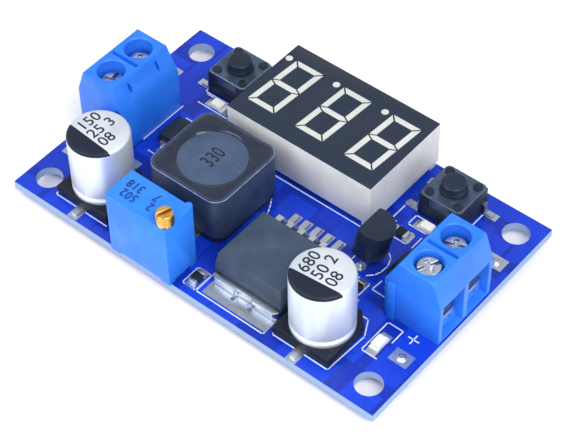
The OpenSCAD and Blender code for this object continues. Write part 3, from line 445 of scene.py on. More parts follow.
# ---------------------------------------------------------------- settings
class ModuleBoardSettings(bpy.types.PropertyGroup):
    mask: colour_setting("Mask", "Colour of the solder mask", "0C33B4")
    mask_dark: colour_setting("Mask dark", "Mask where no copper lies under it", "092A9E")
    edge: colour_setting("Edge", "Cut edge of the laminate", "8FA6C8")
    ink: colour_setting("Ink", "Printed lines", "D9E2F2")
    line_w: length_setting("Line width", "Width of the printed lines", 0.00016)
    via_count: bpy.props.IntProperty(
        name="Vias", description="Small covered vias in the mask", min=0, default=46)
    via_r: length_setting("Via radius", "Radius of a covered via's rim", 0.00028)


class ModulePlasticSettings(bpy.types.PropertyGroup):
    block: colour_setting("Terminal block", "Plastic of the terminal blocks", "2878E8")
    trimmer: colour_setting("Trimmer", "Plastic of the trimmer's case", "2F80EA")
    face: colour_setting("Display face", "Dark face of the display", "202B3B")
    case: colour_setting("Display case", "Pale sides of the display", "DCDDDB")
    segment: colour_setting("Segment", "Unlit segment", "C6C7C4")
    resin: colour_setting("Resin", "Moulding compound of the regulator", "3E4B5F")
    button: colour_setting("Button", "Black plastic of the buttons", "1E293C")


class ModuleMetalSettings(bpy.types.PropertyGroup):
    can: colour_setting("Can", "Aluminium of the capacitors", "DDE3EB")
    can_mark: colour_setting("Can mark", "Printed half moon", "121B2C")
    plate: colour_setting("Plate", "Zinc and tin plating", "C3CAD6")
    brass: colour_setting("Brass", "Adjusting screw", "E8C27A")
    thread_pitch: length_setting("Thread pitch", "Pitch of the clamp screws", 0.00045)
    thread_depth: length_setting("Thread depth", "Depth of the clamp screws' thread", 0.00012)


class ModuleCoilSettings(bpy.types.PropertyGroup):
    shield: colour_setting("Shield", "Ferrite ring round the coil", "33405A")
    core: colour_setting("Core", "Ferrite drum in the middle", "43546E")
    resin: colour_setting("Coil resin", "Resin between drum and ring", "22262E")


class ModuleStudioSettings(bpy.types.PropertyGroup):
    fill: bpy.props.FloatProperty(name="Fill", description="Strength of the soft dome", min=0, default=0.62)
    key: bpy.props.FloatProperty(name="Key", description="Watts of the large key lamp", min=0, default=1.1)
    side: bpy.props.FloatProperty(name="Side", description="Watts of the side lamp", min=0, default=0.5)
    lens: bpy.props.FloatProperty(name="Lens", description="Focal length in mm", min=1, default=120.96)


def settings(name):
    return getattr(bpy.context.scene, "module_" + name)


# ---------------------------------------------------------------- printed patterns
# how far below the board's faces its bare cut edge starts
EDGE_MARGIN = 0.03 * MM
# half moon on a can: how far it runs down the side, and its chord from the can's middle
MOON_DROP = 0.45 * MM
MOON_CHORD = 1.45 * MM


def board_overlay(edge, dark):
    """Copper under the mask shows lighter; the cut edge is bare laminate."""
    under, over = (corner.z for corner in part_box("board"))

    def lay(tree, coords, base):
        cells = tree.nodes.new("ShaderNodeTexVoronoi")
        cells.feature = "F1"
        cells.distance = "CHEBYCHEV"
        cells.inputs["Scale"].default_value = 210.0
        cells.inputs["Randomness"].default_value = 0.75
        tree.links.new(coords, cells.inputs["Vector"])
        bare = ramp_node(tree, cells.outputs["Distance"], 0.44, 0.48)
        base = mix_colours(tree, bare, base, list(dark))
        z = coordinate(tree, coords, "Z")
        inner = math_node(tree, "MULTIPLY", math_node(tree, "GREATER_THAN", z, under + EDGE_MARGIN),
                          math_node(tree, "LESS_THAN", z, over - EDGE_MARGIN))
        return mix_colours(tree, inner, base, list(edge)), (inner, 0.8, None)
    return lay


def can_overlay(mark, centre, top, lean):
    """Black half moon on the top of a can, running a little way down its side."""
    def lay(tree, coords, base):
        x, y, z = (coordinate(tree, coords, axis) for axis in "XYZ")
        high = math_node(tree, "GREATER_THAN", z, top - MOON_DROP)
        slope = math.tan(math.radians(lean))
        chord = math_node(tree, "MULTIPLY_ADD", x, slope, centre.y - MOON_CHORD - centre.x * slope)
        side = math_node(tree, "LESS_THAN", y, chord)
        mask = math_node(tree, "MULTIPLY", high, side)
        return mix_colours(tree, mask, base, list(mark)), (mask, 0.45, 0.0)
    return lay


def side_overlay(level, above):
    """A different colour above a level."""
    def lay(tree, coords, base):
        mask = math_node(tree, "GREATER_THAN", coordinate(tree, coords, "Z"), level)
        return mix_colours(tree, mask, base, list(above)), (mask, 0.32, None)
    return lay


# ---------------------------------------------------------------- pieces
# outlines and signs printed on the board, as polylines in millimetres
BOARD_LINES = [
    box_line(1.05, -16.7, 11.45, -14.9)[:2], [(1.05, -16.7), (1.05, -4.2)], [(11.45, -16.7), (11.45, -4.2)],
    [(20.53, -16.0), (20.9, -9.5), (19.69, -7.25), (18.53, -7.27)],
    [(12.3, -7.4), (12.3, -9.0)], [(12.3, -14.6), (12.3, -16.0), (20.53, -16.0)],
    [(-22.9, -16.0), (-14.3, -16.0)],
    [(-22.9, -16.0), (-22.9, -9.3), (-21.0, -7.3), (-16.2, -7.3), (-14.3, -9.3)],
    [(19.05, -3.37), (17.2, -3.35), (17.35, -1.67)], [(17.0, 4.8), (17.0, 6.7)],
    [(-18.9, -3.2), (-15.7, -3.2)], [(-18.9, 4.1), (-15.7, 4.1)],
    [(12.43, -1.05), (12.43, 1.9)],
    [(15.43, 2.35), (16.07, 1.83), (16.5, 0.6), (16.42, -0.58), (16.1, -1.4), (15.42, -2.09)],
    [(12.0, 10.4), (17.1, 10.4)], [(20.55, 12.2), (20.55, 15.0)], [(-20.2, 9.4), (-13.6, 9.4)],
    [(-20.2, 9.4), (-20.2, 11.2)],
    box_line(14.3, 7.6, 17.1, 9.35), box_line(-19.65, 7.3, -14.7, 9.15)[:4],
    box_line(13.2, 4.8, 16.1, 6.6), [(14.86, -2.86), (16.56, -2.88), (16.53, -5.04)],
    [(21.75, -11.2), (21.75, -6.1), (23.9, -6.1)], [(23.9, -11.2), (21.75, -11.2)],
    [(23.95, -8.2), (23.95, -6.1)],
    box_line(-1.1, -16.7, 0.96, -13.8), [(-20.7, -2.1), (-20.7, 5.45)],
    arc(-6.85, -4.1, 7.0, 8, 42, 6), arc(-6.85, -4.1, 7.0, 140, 172, 6), arc(-6.85, -4.1, 7.0, 188, 220, 6),
    [(-11.5, 3.55), (11.5, 3.55)], [(11.5, 3.55), (11.5, 6.9)],
    [(12.2, 9.7), (12.2, 7.0), (12.9, 7.0)],
    [(24.9, -6.3), (26.3, -6.3)], [(25.6, -7.0), (25.6, -5.6)], [(24.9, 6.6), (26.3, 6.6)],
    [(-26.3, -6.4), (-24.9, -6.4)], [(-25.6, -7.1), (-25.6, -5.7)], [(-26.3, 6.6), (-24.9, 6.6)],
]


def dress_board():
    s = settings("board")
    mask = finish("Board mask", s.mask, shade("103CC4"), (0.3, 0.4), drift_scale=120.0,
                  grain_scale=2500.0, bump=0.1, coat=0.12, coat_rough=0.12,
                  overlay=board_overlay(s.edge, s.mask_dark), specks=0.15, speck_colour=shade("6C8CE0"))
    dress("board", mask)
    tin = finish("Hot tin", shade("C2C9D4"), shade("A9B2C0"), (0.25, 0.42), metallic=0.95,
                 drift_scale=500.0, grain_scale=2500.0, bump=0.35, depth=0.00004, scratches=0.3,
                 scratch_colour=shade("E4E8EE"))
    dress("solder_pads", tin)
    dress("solder_joints", tin)
    ink = finish("Board ink", s.ink, shade("B9C8E4"), (0.5, 0.65), drift_scale=900.0, bump=0.2)
    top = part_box("board")[1].z
    def draw(work):
        for line in BOARD_LINES:
            flat_strip(work, line, s.line_w / MM, top)
    shown("board_print", mesh_from("board_print", draw), ink, ROOT)
    via = finish("Covered via", s.mask, shade("2A58E8"), (0.2, 0.3), bump=0.1, coat=0.12)
    spots = [(x, y) for x, y in via_spots(s.via_count) if abs(x) < 27.6 and abs(y) < 16.9]
    repeat_pieces("board_vias", [(x * MM, y * MM, top) for x, y in spots], via, ROOT,
                  via_rim_nodes, {"Rim Radius": s.via_r, "Rim Height": 0.02 * MM})


def via_spots(count):
    """Places of covered vias along the copper between the parts, in millimetres."""
    rows = [(-12.6 + 1.3 * i, -17.0 if i % 3 else -16.7) for i in range(4)]
    rows += [(13.2 + 1.15 * i, 3.3 - 0.25 * (i % 2)) for i in range(4)]
    rows += [(21.9 + 1.2 * i, -13.0) for i in range(2)]
    rows += [(20.9 + 0.9 * (i % 4), 7.1 + 0.95 * (i // 4)) for i in range(12)]
    rows += [(-13.7 + 1.0 * (i % 3), 2.9 + 0.9 * (i // 3)) for i in range(6)]
    rows += [(-23.6 + 1.2 * (i % 3), 8.4 + 1.1 * (i // 3)) for i in range(9)]
    rows += [(12.4, 4.5), (12.1, -1.9), (-0.2, 0.6)]
    rows += [(13.1 + 0.9 * i, -17.0) for i in range(6)]
    return rows[:count]


def new_geometry_group(name, inputs):
    group = bpy.data.node_groups.new(name, "GeometryNodeTree")
    group.interface.new_socket("Geometry", in_out="INPUT", socket_type="NodeSocketGeometry")
    for label, kind, default in inputs:
        socket = group.interface.new_socket(label, in_out="INPUT", socket_type="NodeSocket" + kind)
        if default is not None:
            socket.default_value = default
    group.interface.new_socket("Geometry", in_out="OUTPUT", socket_type="NodeSocketGeometry")
    return group, group.nodes.new("NodeGroupInput"), group.nodes.new("NodeGroupOutput")


def close_geometry(group, gin, gout, geometry):
    """Ends a geometry group in plain mesh with one material."""
    real = group.nodes.new("GeometryNodeRealizeInstances")
    skin = group.nodes.new("GeometryNodeSetMaterial")
    group.links.new(geometry, real.inputs["Geometry"])
    group.links.new(real.outputs["Geometry"], skin.inputs["Geometry"])
    group.links.new(gin.outputs["Material"], skin.inputs["Material"])
    group.links.new(skin.outputs["Geometry"], gout.inputs["Geometry"])


def via_rim_nodes():
    """Low domed rims with a dimple, one at every point."""
    group, gin, gout = new_geometry_group("Via rims", [
        ("Rim Radius", "Float", 0.00028), ("Rim Height", "Float", 0.00002), ("Material", "Material", None)])
    ring = group.nodes.new("GeometryNodeCurvePrimitiveCircle")
    ring.inputs["Resolution"].default_value = 14
    group.links.new(gin.outputs["Rim Radius"], ring.inputs["Radius"])
    rim = group.nodes.new("GeometryNodeCurvePrimitiveCircle")
    rim.inputs["Resolution"].default_value = 6
    group.links.new(gin.outputs["Rim Height"], rim.inputs["Radius"])
    tube = group.nodes.new("GeometryNodeCurveToMesh")
    group.links.new(ring.outputs["Curve"], tube.inputs["Curve"])
    group.links.new(rim.outputs["Curve"], tube.inputs["Profile Curve"])
    spread = group.nodes.new("GeometryNodeInstanceOnPoints")
    group.links.new(gin.outputs["Geometry"], spread.inputs["Points"])
    group.links.new(tube.outputs["Mesh"], spread.inputs["Instance"])
    close_geometry(group, gin, gout, spread.outputs["Instances"])
    return group


def thread_nodes():
    """A helical ridge round a vertical axis at every point."""
    group, gin, gout = new_geometry_group("Screw thread", [
        ("Thread Radius", "Float", 0.0012), ("Pitch", "Float", 0.00045), ("Turns", "Float", 7.0),
        ("Ridge", "Float", 0.0001), ("Material", "Material", None)])
    spiral = group.nodes.new("GeometryNodeCurveSpiral")
    spiral.inputs["Resolution"].default_value = 28
    group.links.new(gin.outputs["Turns"], spiral.inputs["Rotations"])
    group.links.new(gin.outputs["Thread Radius"], spiral.inputs["Start Radius"])
    group.links.new(gin.outputs["Thread Radius"], spiral.inputs["End Radius"])
    rise = group.nodes.new("ShaderNodeMath")
    rise.operation = "MULTIPLY"
    group.links.new(gin.outputs["Pitch"], rise.inputs[0])
    group.links.new(gin.outputs["Turns"], rise.inputs[1])
    group.links.new(rise.outputs[0], spiral.inputs["Height"])
    edge = group.nodes.new("GeometryNodeCurvePrimitiveCircle")
    edge.inputs["Resolution"].default_value = 6
    group.links.new(gin.outputs["Ridge"], edge.inputs["Radius"])
    tube = group.nodes.new("GeometryNodeCurveToMesh")
    tube.inputs["Fill Caps"].default_value = True
    group.links.new(spiral.outputs["Curve"], tube.inputs["Curve"])
    group.links.new(edge.outputs["Curve"], tube.inputs["Profile Curve"])
    spread = group.nodes.new("GeometryNodeInstanceOnPoints")
    group.links.new(gin.outputs["Geometry"], spread.inputs["Points"])
    group.links.new(tube.outputs["Mesh"], spread.inputs["Instance"])
    close_geometry(group, gin, gout, spread.outputs["Instances"])
    return group


GEOMETRY_GROUPS = {}


def repeat_pieces(name, points, material, body, maker, values):
    """Runs a geometry group on points and keeps the plain mesh it makes."""
    seed = bpy.data.meshes.new(name + "_seed")
    seed.from_pydata(points, [], [])
    temp = bpy.data.objects.new("temp", seed)
    bpy.context.scene.collection.objects.link(temp)
    if maker not in GEOMETRY_GROUPS:
        GEOMETRY_GROUPS[maker] = maker()
    group = GEOMETRY_GROUPS[maker]
    modifier = temp.modifiers.new("Repeat", "NODES")
    modifier.node_group = group
    for item in group.interface.items_tree:
        if item.item_type == "SOCKET" and item.in_out == "INPUT":
            if item.name in values:
                modifier[item.identifier] = values[item.name]
            elif item.name == "Material":
                modifier[item.identifier] = material
    graph = bpy.context.evaluated_depsgraph_get()
    mesh = bpy.data.meshes.new_from_object(temp.evaluated_get(graph))
    bpy.data.objects.remove(temp)
    smooth_by_angle(mesh, 45)
    return shown(name, mesh, material, body)


def dress_terminals():
    s = settings("plastic")
    m = settings("metal")
    plastic = finish("Block plastic", s.block, shade("206CDC"), (0.34, 0.44), drift_scale=260.0,
                     grain_scale=5200.0, bump=0.18, scratches=0.12, scratch_colour=shade("7DB4FA"),
                     subsurface=0.04, spec=0.35)
    for node in ("input_housing", "output_housing"):
        soften(node, 0.09 * MM, plastic, 30)
    tin = finish("Contact tin", m.plate, shade("AEB7C4"), (0.25, 0.4), metallic=1.0, drift_scale=400.0,
                 grain_scale=3000.0, bump=0.2, scratches=0.5, scratch_colour=shade("E9ECF1"),
                 stretch=(1.0, 1.0, 0.2))
    zinc = finish("Screw zinc", shade("C9CED6"), shade("AAB3C0"), (0.2, 0.36), metallic=1.0,
                  drift_scale=700.0, grain_scale=4200.0, bump=0.25, scratches=0.7,
                  scratch_colour=shade("F0F2F5"))
    for node in ("input_contacts", "output_contacts"):
        dress(node, tin)
    for pole in ("input_plus", "input_minus", "output_plus", "output_minus"):
        dress(pole + "_guard", tin)
        soften(pole + "_screw", 0.05 * MM, zinc, 35)
        low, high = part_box(pole + "_screw")
        middle = (low + high) / 2
        pitch, ridge = m.thread_pitch, m.thread_depth
        repeat_pieces(pole + "_thread", [(middle.x, middle.y, low.z + 0.35 * MM)], zinc, pole + "_screw",
                      thread_nodes, {"Thread Radius": 1.25 * MM - ridge * 0.35, "Pitch": pitch,
                                     "Turns": 6.5, "Ridge": ridge})


def dress_display():
    s = settings("plastic")
    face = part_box("display_case")[1].z
    shell = finish("Display shell", s.case, shade("CFD1D0"), (0.4, 0.5), bump=0.12, subsurface=0.03,
                   overlay=side_overlay(face - EDGE_MARGIN, s.face), scratches=0.05)
    soften("display_case", 0.06 * MM, shell, 30)
    dress("display_windows", finish("Display segment", s.segment, shade("BEC0BE"), (0.3, 0.4), bump=0.05,
                                    subsurface=0.08, spec=0.45))
    dress("display_board", finish("Inner board", shade("A9AE9A"), shade("989E8A"), (0.6, 0.75)))
    dress("display_pins", finish("Pin tin", shade("C6CBD3"), shade("AFB6C0"), (0.25, 0.38), metallic=1.0,
                                 bump=0.15))


def dress_switches():
    s = settings("plastic")
    black = finish("Switch plastic", shade("1C2538"), shade("151D2E"), (0.42, 0.52), bump=0.2)
    steel = finish("Switch steel", shade("56657A"), shade("46556A"), (0.3, 0.42), metallic=0.7,
                   drift_scale=500.0, grain_scale=3600.0, bump=0.15, scratches=0.6,
                   scratch_colour=shade("AEB6C2"))
    # lighter colour for the cover's rounded edges: a painted highlight
    rim = finish("Cover edge", shade("98A6B8"), shade("6F7E92"), (0.3, 0.4), metallic=0.6,
                 drift_scale=700.0, bump=0.2)
    knob = finish("Button plastic", s.button, shade("172032"), (0.34, 0.44), bump=0.12, scratches=0.1,
                  scratch_colour=shade("4A505C"))
    spring = finish("Dome steel", shade("B9C0CA"), shade("9EA6B2"), (0.2, 0.3), metallic=1.0, bump=0.08)
    lead = finish("Switch lead", shade("C2C7CF"), shade("A5ACB8"), (0.28, 0.4), metallic=1.0, bump=0.12)
    for side in ("left", "right"):
        soften(side + "_switch_base", 0.08 * MM, black)
        soften(side + "_switch_cover", 0.06 * MM, steel, wear_and_edge_highlight=rim)
        soften(side + "_switch_button", 0.1 * MM, knob, 35)
        dress(side + "_switch_dome", spring)
        dress(side + "_switch_leads", lead)


# figures on a can, in millimetres: their height, the first row's place, the step and the rows' start
CAN_FIGURE = 2.2
CAN_ROW = -1.45
CAN_ROW_STEP = 1.9
CAN_ROW_START = -1.2


def dress_capacitors():
    m = settings("metal")
    for side, rows, lean in (("output", ("150", "25 3", "08"), -4.4), ("input", ("680", "50 2", "08"), 5.2)):
        node = side + "_capacitor_can"
        middle, top = centre_of(node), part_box(node)[1].z
        can = finish(side.title() + " can", m.can, shade("C6CFDB"), (0.4, 0.5), metallic=0.6,
                     drift_scale=240.0, grain_scale=2400.0, bump=0.1, scratches=0.25,
                     scratch_colour=shade("EEF1F5"), stretch=(1.0, 1.0, 0.15),
                     overlay=can_overlay(m.can_mark, middle, top, lean))
        soften(node, 0.12 * MM, can, 25, 3)
        turn = Matrix.Rotation(math.radians(lean), 3, "Z")
        figures = []
        for i, text in enumerate(rows):
            spot = Vector(((CAN_ROW + CAN_ROW_STEP * i) * MM, CAN_ROW_START * MM, 0))
            figures.append(printed_text(text, CAN_FIGURE, Vector((middle.x, middle.y, top)) + turn @ spot,
                                        90 + lean, bold=0.025, align="LEFT"))
        ink = finish(side.title() + " can ink", shade("20252F"), shade("2B313D"), (0.5, 0.6))
        shown(side + "_can_figures", joined(side + "_can_figures", figures), ink, ROOT)
        soften(side + "_capacitor_base", 0.06 * MM, finish(side.title() + " cap base", shade("161E2C"),
                                                          shade("101722"), (0.42, 0.52), bump=0.15))
        dress(side + "_capacitor_leads", finish(side.title() + " cap lead", shade("C6CBD3"),
                                                shade("AEB6C1"), (0.25, 0.4), metallic=1.0, bump=0.15))


def rounded_square(half, corner, steps):
    """Points of a square outline with round corners, at even angles."""
    points = []
    for i in range(steps):
        angle = math.tau * i / steps
        c, d = abs(math.cos(angle)), abs(math.sin(angle))
        reach = half / max(c, d)
        if min(c, d) * reach > half - corner:
            inner = (half - corner) * (c + d)
            reach = inner + math.sqrt(inner * inner - 2 * (half - corner) ** 2 + corner * corner)
        points.append((reach * math.cos(angle), reach * math.sin(angle)))
    return points


# lacquer on the coil, in millimetres: its inner ring, half its outline and the outline's corner
LACQUER_R = 4.42
LACQUER_HALF = 5.42
LACQUER_CORNER = 1.35
LACQUER_STEPS = 96
# height of the lacquer over the shield's top, from the inner ring (0) to the outline (1)
LACQUER_LEVELS = [(0.0, -0.27), (0.06, -0.16), (0.2, -0.02), (0.4, 0.035), (0.6, 0.03), (0.75, 0.045),
                  (0.9, 0.03), (0.985, 0.015), (1.0, 0.002)]
# puddle in each corner: how far out it lies, how wide it is both ways, and how high
PUDDLE_R = 5.75
PUDDLE_DEEP = 0.42
PUDDLE_WIDE = 0.9
PUDDLE_RISE = 0.07


def lacquer_top(name, middle, top):
    """Glossy resin from the drum out over the top of the ring, puddled at the corners."""
    outline = rounded_square(LACQUER_HALF, LACQUER_CORNER, LACQUER_STEPS)

    def build(work):
        rings = []
        for t, lift in LACQUER_LEVELS:
            ring = []
            for ox, oy in outline:
                angle = math.atan2(oy, ox)
                ix, iy = LACQUER_R * math.cos(angle), LACQUER_R * math.sin(angle)
                x, y = ix + (ox - ix) * t, iy + (oy - iy) * t
                reach = math.hypot(x, y)
                off = (abs(x) - abs(y)) / PUDDLE_WIDE
                pool = math.exp(-((reach - PUDDLE_R) / PUDDLE_DEEP) ** 2 - off ** 2)
                wave = 0.012 * math.sin(3 * angle + 1.7) + 0.008 * math.sin(7 * angle + 0.4)
                z = lift + wave * (0.1 < t < 0.95) + PUDDLE_RISE * pool * (0.1 < t < 0.97)
                ring.append(work.verts.new((middle.x + x * MM, middle.y + y * MM, top + z * MM)))
            rings.append(ring)
        count = len(outline)
        for low, high in zip(rings[:-1], rings[1:]):
            for i in range(count):
                j = (i + 1) % count
                work.faces.new((low[i], high[i], high[j], low[j]))
    resin = finish("Coil lacquer", shade("141D2E"), shade("1B263A"), (0.1, 0.2), drift_scale=500.0,
                   grain_scale=900.0, bump=0.25, depth=0.00005, spec=0.4, specks=0.2,
                   speck_colour=shade("3B4A62"))
    mesh = mesh_from(name, build)
    smooth_by_angle(mesh, 80)
    shown(name, mesh, resin, ROOT)


def dress_coil():
    s = settings("coil")
    shield = finish("Coil shield", s.shield, shade("26324A"), (0.34, 0.5), metallic=0.0,
                    drift_scale=380.0, grain_scale=3800.0, bump=0.45, depth=0.00003, specks=0.5,
                    speck_colour=shade("6C7584"), scratches=0.3, scratch_colour=shade("707A8A"))
    core = finish("Coil core", s.core, shade("394A64"), (0.34, 0.48), metallic=0.0, drift_scale=420.0,
                  grain_scale=3800.0, bump=0.4, depth=0.00003, specks=0.4, speck_colour=shade("8F9DB2"),
                  scratches=0.3, scratch_colour=shade("93A1B6"))
    # lighter colour for the shield's rounded edges: a painted highlight
    edge = finish("Shield edge", shade("8796AC"), shade("5D6C84"), (0.3, 0.4), bump=0.3, drift_scale=900.0)
    soften("coil_shield", 0.11 * MM, shield, 30, wear_and_edge_highlight=edge)
    lacquer_top("coil_lacquer", centre_of("coil_shield"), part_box("coil_shield")[1].z)
    soften("coil_core", 0.08 * MM, core, 35)
    dress("coil_resin", finish("Coil resin", s.resin, shade("2E333D"), (0.18, 0.32), drift_scale=700.0,
                               grain_scale=1500.0, bump=0.6, depth=0.00008, coat=0.5))
    dress("coil_winding", finish("Winding copper", shade("B5652F"), shade("93491E"), (0.25, 0.35),
                                 metallic=0.9, drift_scale=600.0, stretch=(1.0, 1.0, 9.0)))
    soften("coil_base", 0.06 * MM, finish("Coil base", shade("23262C"), shade("1A1C21"), (0.45, 0.55)))
    dress("coil_terminals", finish("Coil terminal", shade("C4C9D1"), shade("A9B1BC"), (0.25, 0.4),
                                   metallic=1.0, bump=0.2))
    middle, top = centre_of("coil_core"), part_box("coil_core")[1].z
    ink = finish("Coil ink", shade("14181F"), shade("1D222B"), (0.5, 0.6))
    figures = printed_text("330", 2.9, Vector((middle.x, middle.y + 0.15 * MM, top)), 90, gap=1.1,
                           bold=0.02, narrow=0.66)
    shown("coil_figures", figures, ink, ROOT)


def dress_trimmer():
    s = settings("plastic")
    m = settings("metal")
    case = finish("Trimmer case", s.trimmer, shade("2776E2"), (0.36, 0.46), bump=0.15, subsurface=0.04,
                  scratches=0.1, scratch_colour=shade("8EC2FB"))
    soften("trimmer_case", 0.08 * MM, case, 30)
    soften("trimmer_screw", 0.05 * MM, finish("Trimmer brass", m.brass, shade("D0A24C"), (0.22, 0.34),
                                              metallic=1.0, drift_scale=700.0, grain_scale=4000.0,
                                              bump=0.25, scratches=0.5, scratch_colour=shade("F2D48C")), 35)
    dress("trimmer_wheel", finish("Wheel plastic", shade("E6E3D6"), shade("D5D1C2"), (0.4, 0.5)))
    dress("trimmer_element", finish("Element ceramic", shade("D8D4C8"), shade("C8C3B4"), (0.55, 0.7)))
    dress("trimmer_pins", finish("Trimmer pin", shade("C6CBD3"), shade("AEB6C1"), (0.25, 0.4),
                                 metallic=1.0, bump=0.15))
    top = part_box("trimmer_case")[1].z
    ink = finish("Trimmer ink", shade("17346B"), shade("1E4183"), (0.5, 0.6))
    marks = [("502", -8.9, -16.62), ("2", -5.7, -16.4), ("318", -9.2, -15.05), ("7", -6.0, -14.85)]
    figures = joined("figures", [printed_text(text, 1.75, Vector((x * MM, y * MM, top)), 180, gap=1.12,
                                              bold=0.015, narrow=0.85) for text, x, y in marks])
    shown("trimmer_figures", figures, ink, ROOT)


def dress_small_parts():
    s = settings("plastic")
    resin = finish("Regulator resin", s.resin, shade("344052"), (0.42, 0.54), bump=0.4, grain_scale=4200.0,
                   specks=0.25, speck_colour=shade("667286"), scratches=0.12, scratch_colour=shade("6C788C"))
    tab = finish("Tab tin", shade("C3C9D2"), shade("A3ACB8"), (0.24, 0.4), metallic=1.0,
                 drift_scale=420.0, grain_scale=2600.0, bump=0.3, scratches=0.5,
                 scratch_colour=shade("E8EBEF"), stretch=(0.5, 1.6, 1.0))
    black = finish("Black resin", shade("151E2E"), shade("1E2838"), (0.28, 0.4), bump=0.3, specks=0.15,
                   speck_colour=shade("4C525E"))
    chip = finish("Chip body", shade("16181D"), shade("22252C"), (0.3, 0.42), bump=0.2)
    tin = finish("Chip tin", shade("CBD0D8"), shade("B2BAC5"), (0.25, 0.4), metallic=1.0, bump=0.25)
    soften("regulator_body", 0.06 * MM, resin, 12)
    soften("regulator_tab", 0.05 * MM, tab, 30)
    soften("transistor_body", 0.1 * MM, black, 35)
    soften("diode_bodies", 0.06 * MM, black, 25)
    soften("controller_body", 0.06 * MM, black, 30)
    soften("chip_bodies", 0.03 * MM, chip, 30)
    soften("chip_ends", 0.03 * MM, tin, 30)
    for node in ("regulator_leads", "transistor_legs", "diode_leads", "controller_leads"):
        dress(node, tin)
    dress("lamp_lenses", finish("Lamp lens", shade("EDEFE6"), shade("DDE2D6"), (0.2, 0.32), bump=0.1,
                                subsurface=0.1))
    dress("lamp_bases", finish("Lamp base", shade("D9DCD6"), shade("C7CBC4"), (0.45, 0.55)))


# ---------------------------------------------------------------- stage
CAMERA_SPOT = (0.10293, -0.11963, 0.17846)
CAMERA_TURN = (42.72, 47.84, -2.87)
CAMERA_SHIFT = (0.0911, -0.0577)
FLOOR_REACH = 1.5
# name, place and side of each lamp, and the spot that both light
LAMPS = (("key", (0.20, -0.08, 0.28), 0.22), ("side", (-0.12, -0.20, 0.22), 0.2))
LAMP_AIM = Vector((0, 0, 0.004))


def build_stage():
    s = settings("studio")
    scene = bpy.context.scene
    scene.view_settings.view_transform = "Standard"
    cam = bpy.data.objects.new("camera", bpy.data.cameras.new("camera"))
    scene.collection.objects.link(cam)
    scene.camera = cam
    a, e, r = (math.radians(angle) for angle in CAMERA_TURN)
    back = Vector((math.sin(a) * math.cos(e), -math.cos(a) * math.cos(e), math.sin(e)))
    right = Vector((math.cos(a), math.sin(a), 0))
    up = back.cross(right)
    right, up = math.cos(r) * right + math.sin(r) * up, math.cos(r) * up - math.sin(r) * right
    cam.matrix_world = Matrix.Translation(CAMERA_SPOT) @ Matrix((right, up, back)).transposed().to_4x4()
    cam.data.lens = s.lens
    cam.data.sensor_width = 36
    cam.data.shift_x, cam.data.shift_y = CAMERA_SHIFT
    cam.data.clip_start, cam.data.clip_end = 0.01, 5
    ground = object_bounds()[0].z

    floor_mesh = mesh_from("floor", lambda work: work.faces.new(
        [work.verts.new((x * FLOOR_REACH, y * FLOOR_REACH, ground))
         for x, y in ((-1, -1), (1, -1), (1, 1), (-1, 1))]))
    floor = bpy.data.objects.new("floor", floor_mesh)
    scene.collection.objects.link(floor)
    floor_mat = bpy.data.materials.new("Floor paper")
    floor_mat.use_nodes = True
    tree = floor_mat.node_tree
    coords = tree.nodes.new("ShaderNodeTexCoord").outputs["Object"]
    grain = place_group(tree, "Surface grain", coords, Drift_Scale=30.0, Grain_Scale=900.0)
    shader = tree.nodes["Principled BSDF"]
    tree.links.new(mix_colours(tree, grain.outputs["Drift"], [0.93, 0.93, 0.94, 1], [0.95, 0.95, 0.95, 1]),
                   shader.inputs["Base Color"])
    shader.inputs["Roughness"].default_value = 0.7
    floor_mesh.materials.append(floor_mat)

    world = bpy.data.worlds.new("Studio")
    scene.world = world
    world.use_nodes = True
    tree = world.node_tree
    tree.nodes.clear()
    path = tree.nodes.new("ShaderNodeLightPath")
    seen = math_node(tree, "MAXIMUM", path.outputs["Is Camera Ray"], path.outputs["Is Transmission Ray"])
    dome = tree.nodes.new("ShaderNodeBackground")
    dome.inputs["Color"].default_value = (0.93, 0.96, 1.0, 1)
    dome.inputs["Strength"].default_value = s.fill
    white = tree.nodes.new("ShaderNodeBackground")
    white.inputs["Strength"].default_value = 1.0
    blend = tree.nodes.new("ShaderNodeMixShader")
    out = tree.nodes.new("ShaderNodeOutputWorld")
    tree.links.new(math_node(tree, "MAXIMUM", seen, path.outputs["Is Glossy Ray"]), blend.inputs[0])
    tree.links.new(dome.outputs[0], blend.inputs[1])
    tree.links.new(white.outputs[0], blend.inputs[2])
    tree.links.new(blend.outputs[0], out.inputs["Surface"])

    lamps = []
    for name, spot, size in LAMPS:
        lamp = bpy.data.objects.new(name, bpy.data.lights.new(name, "AREA"))
        lamp.data.energy, lamp.data.size = getattr(s, name), size
        lamp.location = spot
        lamp.rotation_mode = "QUATERNION"
        lamp.rotation_quaternion = (Vector(spot) - LAMP_AIM).to_track_quat("Z", "Y")
        scene.collection.objects.link(lamp)
        lamps.append(lamp)
    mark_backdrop(floor, cam, *lamps)


# ---------------------------------------------------------------- operators
def make_operator(name, label, text, action):
    """An operator class that runs one builder."""
    def execute(self, context):
        action()
        return {"FINISHED"}
    return type("MODULE_OT_" + name, (bpy.types.Operator,), {
        "__doc__": text, "bl_idname": "module." + name, "bl_label": label, "execute": execute})


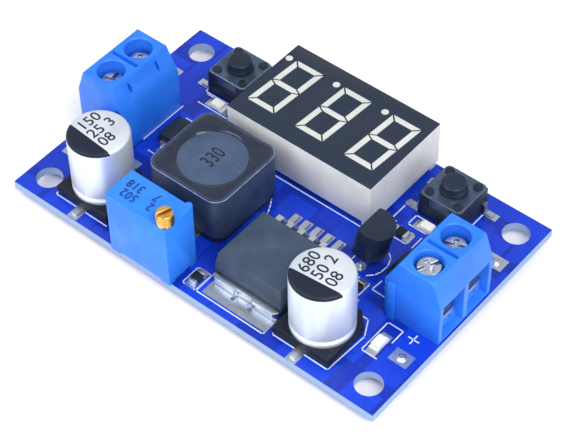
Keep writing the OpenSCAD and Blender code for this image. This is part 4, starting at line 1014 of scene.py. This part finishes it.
OPERATORS = [make_operator(*row) for row in (
    ("board", "Board", "Masks the board, prints its lines and sets its vias", dress_board),
    ("terminals", "Terminals", "Dresses the terminal blocks and threads their screws", dress_terminals),
    ("display", "Display", "Dresses the three-digit display", dress_display),
    ("switches", "Switches", "Dresses the two push switches", dress_switches),
    ("capacitors", "Capacitors", "Dresses and prints the two capacitors", dress_capacitors),
    ("coil", "Coil", "Dresses the shielded coil", dress_coil),
    ("trimmer", "Trimmer", "Dresses the trimmer and its screw", dress_trimmer),
    ("small_parts", "Small parts", "Dresses the regulator, transistor, diodes, chips and lamps",
     dress_small_parts),
    ("studio", "Studio", "Sets the camera, floor, world and lamps", build_stage),
)]


class MODULE_PT_panel(bpy.types.Panel):
    """Panel that lists the builders and the settings"""
    bl_label = "Converter Module"
    bl_idname = "MODULE_PT_panel"
    bl_space_type = "VIEW_3D"
    bl_region_type = "UI"
    bl_category = "Module"

    def draw(self, context):
        column = self.layout.column(align=True)
        for operator in OPERATORS:
            column.operator(operator.bl_idname)
        for name, group in SETTINGS.items():
            box = self.layout.box()
            for key in group.__annotations__:
                box.prop(getattr(context.scene, "module_" + name), key)


SETTINGS = {"board": ModuleBoardSettings, "plastic": ModulePlasticSettings, "metal": ModuleMetalSettings,
            "coil": ModuleCoilSettings, "studio": ModuleStudioSettings}


def register():
    for group in SETTINGS.values():
        bpy.utils.register_class(group)
    for name, group in SETTINGS.items():
        setattr(bpy.types.Scene, "module_" + name, bpy.props.PointerProperty(type=group))
    for operator in OPERATORS:
        bpy.utils.register_class(operator)
    bpy.utils.register_class(MODULE_PT_panel)


def unregister():
    bpy.utils.unregister_class(MODULE_PT_panel)
    for operator in reversed(OPERATORS):
        bpy.utils.unregister_class(operator)
    for name, group in SETTINGS.items():
        delattr(bpy.types.Scene, "module_" + name)
        bpy.utils.unregister_class(group)


def main():
    register()
    for operator in OPERATORS:
        getattr(bpy.ops.module, operator.bl_idname.partition(".")[2])()


if __name__ == "__main__":
    main()
